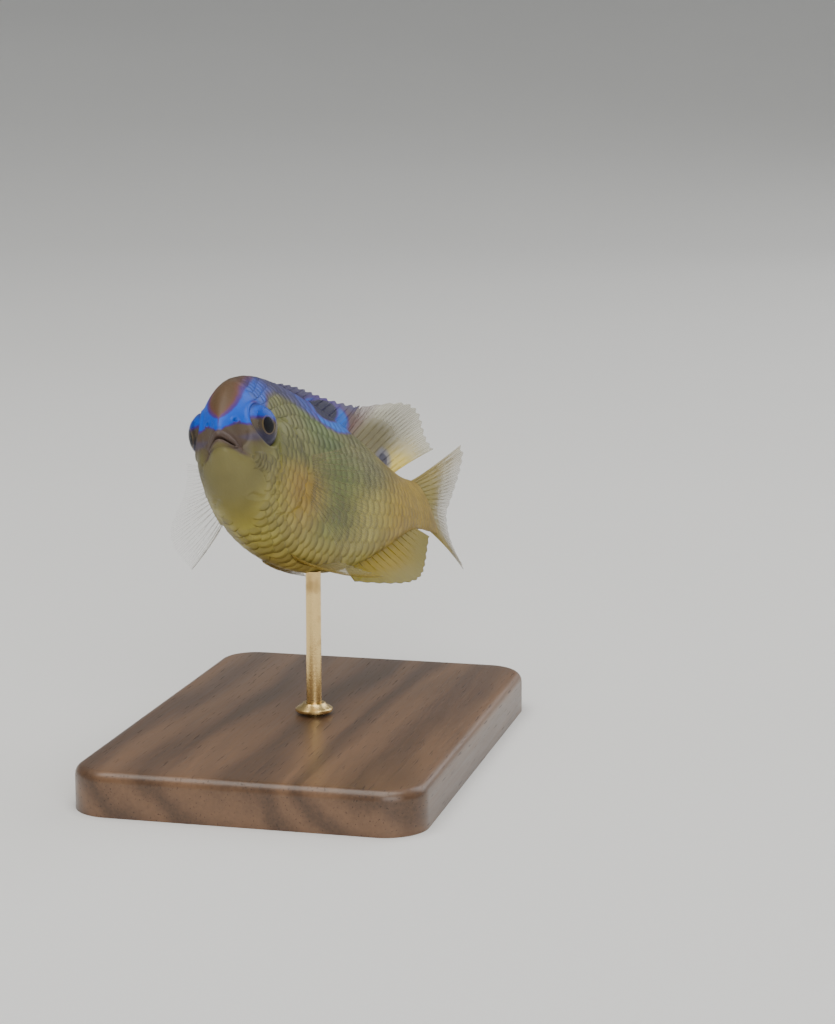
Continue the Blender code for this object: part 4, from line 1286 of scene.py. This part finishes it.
DUSKY, DUSKY_EDGE = rgb(0.042, 0.033, 0.118), rgb(0.070, 0.058, 0.165)
RED_BROWN, TAIL_SIDES = rgb(0.150, 0.080, 0.066), rgb(0.330, 0.250, 0.050)
PALE, STRAW = rgb(0.330, 0.280, 0.130), rgb(0.300, 0.220, 0.045)
FIN_PAINT = {  # colours of root, edge, front and rear, then the share covered at root and edge
    "dorsal_fin_spiny": (DUSKY, DUSKY_EDGE, NAPE, RED_BROWN, 0.98, 0.92),
    "dorsal_fin_soft": (rgb(0.200, 0.172, 0.078), rgb(0.440, 0.405, 0.240), RED_BROWN,
                        rgb(0.760, 0.590, 0.100), 0.97, 0.54),
    "anal_fin": (rgb(0.310, 0.216, 0.004), rgb(0.250, 0.200, 0.018), rgb(0.280, 0.220, 0.008),
                 rgb(0.290, 0.225, 0.045), 0.98, 0.92),
    "tail_fin": (rgb(0.300, 0.240, 0.055), rgb(0.380, 0.335, 0.230), TAIL_SIDES, TAIL_SIDES,
                 0.97, 0.45),
    "pectoral_fin": (PALE, rgb(0.380, 0.350, 0.230), PALE, PALE, 0.10, 0.04),
    "pelvic_fin": (STRAW, rgb(0.360, 0.310, 0.150), rgb(0.330, 0.230, 0.035), STRAW, 0.85, 0.45),
}


def paint_fin(name, tints, rods):
    """The material of a fin's web, or of its rays, which cover more and are a little darker."""
    look, tree = new_material(f"{name}_{'rays' if rods else 'web'}")
    place = kept(tree, "fish")
    colour, cover, streaks = use_group(tree, fin_tint, kept(tree, "fin"), *tints)
    if rods:
        colour = colour.blend(RAY_SHADE, streaks, "MULTIPLY")
        cover = cover.maths("SQRT") * 0.9
    colour, dark = use_group(tree, spots, place, colour)
    grain, rough = use_group(tree, fine_grain, place, 240.0, 0.42)
    # A web is seen through both of its sides, so each covers less than the two together.
    clear = (1.0 - cover.maths("MAXIMUM", dark * 0.97)).maths("SQRT")
    fill_shader(tree, streaks * 0.6 + grain * 0.4, 0.00003, Base_Color=colour,
                Alpha=1.0 - clear, Roughness=rough, Specular_IOR_Level=0.20)
    return look


fin_looks = {name: [paint_fin(name, tints, rods) for rods in (False, True)]
             for name, tints in FIN_PAINT.items()}
FINS = [("dorsal_fin_spiny", spiny_surface, SPINES, 0.10, 0.00022, "dusky"),
        ("dorsal_fin_soft", soft_surface, SOFT_RAYS, 0.03, 0.00014, "yellow"),
        ("anal_fin", anal_surface, ANAL_RAYS, 0.03, 0.00014, "yellow"),
        ("tail_fin", tail_surface, TAIL_RAYS, 0.03, 0.00015, "yellow")]
for side, word in SIDES:
    FINS.append((f"pectoral_fin_{word}", pectoral_surface(side), PECTORAL_RAYS, 0.02, 0.00012,
                 "clear"))
    FINS.append((f"pelvic_fin_{word}", pelvic_surface(side), PELVIC_RAYS, 0.05, 0.00016, "clear"))
for name, surface, rays, notch, radius, word in FINS:
    web_look, ray_look = fin_looks[name.removesuffix("_left").removesuffix("_right")]
    make_web(f"{name}_web", surface, rays, notch, web_look, f"{word}_fin", name)
    make_rays(f"{name}_rays", surface, rays, radius, word == "dusky", ray_look, f"{word}_fin")
    print(name, "has", rays, "rays")


def strip_surface(across, out):
    """The strip of web that ties the last spine to the first soft ray."""
    share = across[:, None]
    return spiny_surface(0 * across + 1, out) * (1 - share) + soft_surface(0 * across, out) * share


strip_look = paint_fin("dorsal_fin_strip", (RED_BROWN,) * 4 + (0.97, 0.75), rods=False)
make_web("dorsal_fin_strip", strip_surface, 2, 0.12, strip_look, "yellow_fin")

# %% [markdown]
# ## The stand
#
# The fish floats over a small block of walnut on one brass rod. The block's upright edges are
# rounded widely and its upper rim is eased, as a router leaves it. The rod's foot sits in a turned
# collar, and its top runs into the belly. Walnut has long rings, fine fibres and short dark pores
# along the plank, and brass keeps the fine scratches of the wheel that polished it.

# %% Base, rod and collar
BASE_LOW, BASE_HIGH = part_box("stand_base")
BASE_SIZE = [BASE_HIGH[i] - BASE_LOW[i] for i in range(3)]
BASE_EDGE = 0.0012      # width of the bevel round its top
BASE_CORNER = 0.0048    # rounding of the block's upright corners
WALNUT_DARK, WALNUT_LIGHT = rgb(0.050, 0.024, 0.012), rgb(0.200, 0.105, 0.052)
WALNUT_PORE, BRASS, BRASS_DULLED = rgb(0.25, 0.20, 0.18), rgb(0.86, 0.62, 0.27), rgb(0.62, 0.42, 0.17)
ROD_RADIUS = 0.0009
COLLAR_OUTLINE = ((0.00095, 0.0003), (0.00205, 0.0003), (0.00220, 0.00045), (0.00220, 0.0007),
                  (0.00195, 0.0009), (0.00160, 0.00105), (0.00130, 0.0014), (0.00095, 0.0014))


def stand_piece(name, mesh, look, slot, node):
    bmesh.ops.recalc_face_normals(mesh, faces=mesh.faces)
    finish(name, mesh, look, slot, node).data.set_sharp_from_angle(angle=math.radians(40))


def ease(mesh, edges, width, segments):
    """Rounds some of a mesh's edges."""
    bmesh.ops.bevel(mesh, geom=edges, offset=width, offset_type="OFFSET", segments=segments,
                    profile=0.5, affect="EDGES", material=-1)


wood_look, tree = new_material("stand_wood")
place = add_node(tree, "TexCoord", out=3)
plank_y, plank_z = place.parts()[1:]
warp = noise(place, 1.0, 3.0, (16.0, 90.0, 90.0))
rings = (plank_y * 750.0 + plank_z * 600.0 + warp * 16.0).maths("SINE") * 0.5 + 0.5
fibres = noise(place, 1.0, 4.0, (110.0, 2600.0, 2600.0))
pores = noise(place, 1.0, 2.0, (260.0, 4200.0, 4200.0)).step(0.62, 0.72)
colour = (rings * 0.55 + fibres * 0.55).between(WALNUT_DARK, WALNUT_LIGHT)
fill_shader(tree, fibres * 0.5 + (1.0 - pores) * 0.5, 0.00003,
            Base_Color=colour.blend(WALNUT_PORE, pores * 0.7, "MULTIPLY"),
            Roughness=fibres * 0.22 + pores * 0.2 + 0.26, Coat_Weight=0.30, Coat_Roughness=0.25)

brass_look, tree = new_material("stand_brass")
place = add_node(tree, "TexCoord", out=3)
scratches = noise(place, 1.0, 3.0, (1500.0, 1500.0, 14000.0))
dulled = noise(place, 420.0, 3.0).step(0.45, 0.75)
fill_shader(tree, scratches, 0.000006, Metallic=1.0,
            Base_Color=dulled.between(BRASS, BRASS_DULLED),
            Roughness=scratches * 0.18 + dulled * 0.12 + 0.16)

mesh = bmesh.new()
bmesh.ops.create_cube(mesh, size=1.0)
bmesh.ops.transform(mesh, matrix=Matrix.Diagonal((*BASE_SIZE, 1.0)), verts=mesh.verts)
bmesh.ops.translate(mesh, verts=mesh.verts, vec=(0, 0, BASE_SIZE[2] / 2))
ease(mesh, [edge for edge in mesh.edges
            if abs(edge.verts[0].co.z - edge.verts[1].co.z) > BASE_SIZE[2] / 2], BASE_CORNER, 16)
ease(mesh, [edge for edge in mesh.edges
            if all(vert.co.z > BASE_SIZE[2] - 1e-6 for vert in edge.verts)], BASE_EDGE, 6)
stand_piece("stand_base_block", mesh, wood_look, "walnut", "stand_base")

rod_low, rod_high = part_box("stand_rod")
mesh = bmesh.new()
rod_middle = Matrix.Translation((0, 0, (rod_low[2] + rod_high[2]) / 2))
bmesh.ops.create_cone(mesh, cap_ends=True, segments=48, radius1=ROD_RADIUS, radius2=ROD_RADIUS,
                      depth=rod_high[2] - rod_low[2], matrix=rod_middle)
stand_piece("stand_rod_bar", mesh, brass_look, "brass", "stand_rod")

collar = turned([(x, BASE_SIZE[2] + z) for x, z in COLLAR_OUTLINE], 64, closed=True)
stand_piece("stand_collar_ring", collar, brass_look, "brass", "stand_collar")
print("base", [round(1000 * side, 1) for side in BASE_SIZE], "mm")

# %% Sizes
dressed_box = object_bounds()
for word, box in (("solids", cad_box), ("dressed", dressed_box)):
    print(word, [round(1000 * (box[1][i] - box[0][i]), 2) for i in range(3)], "mm")
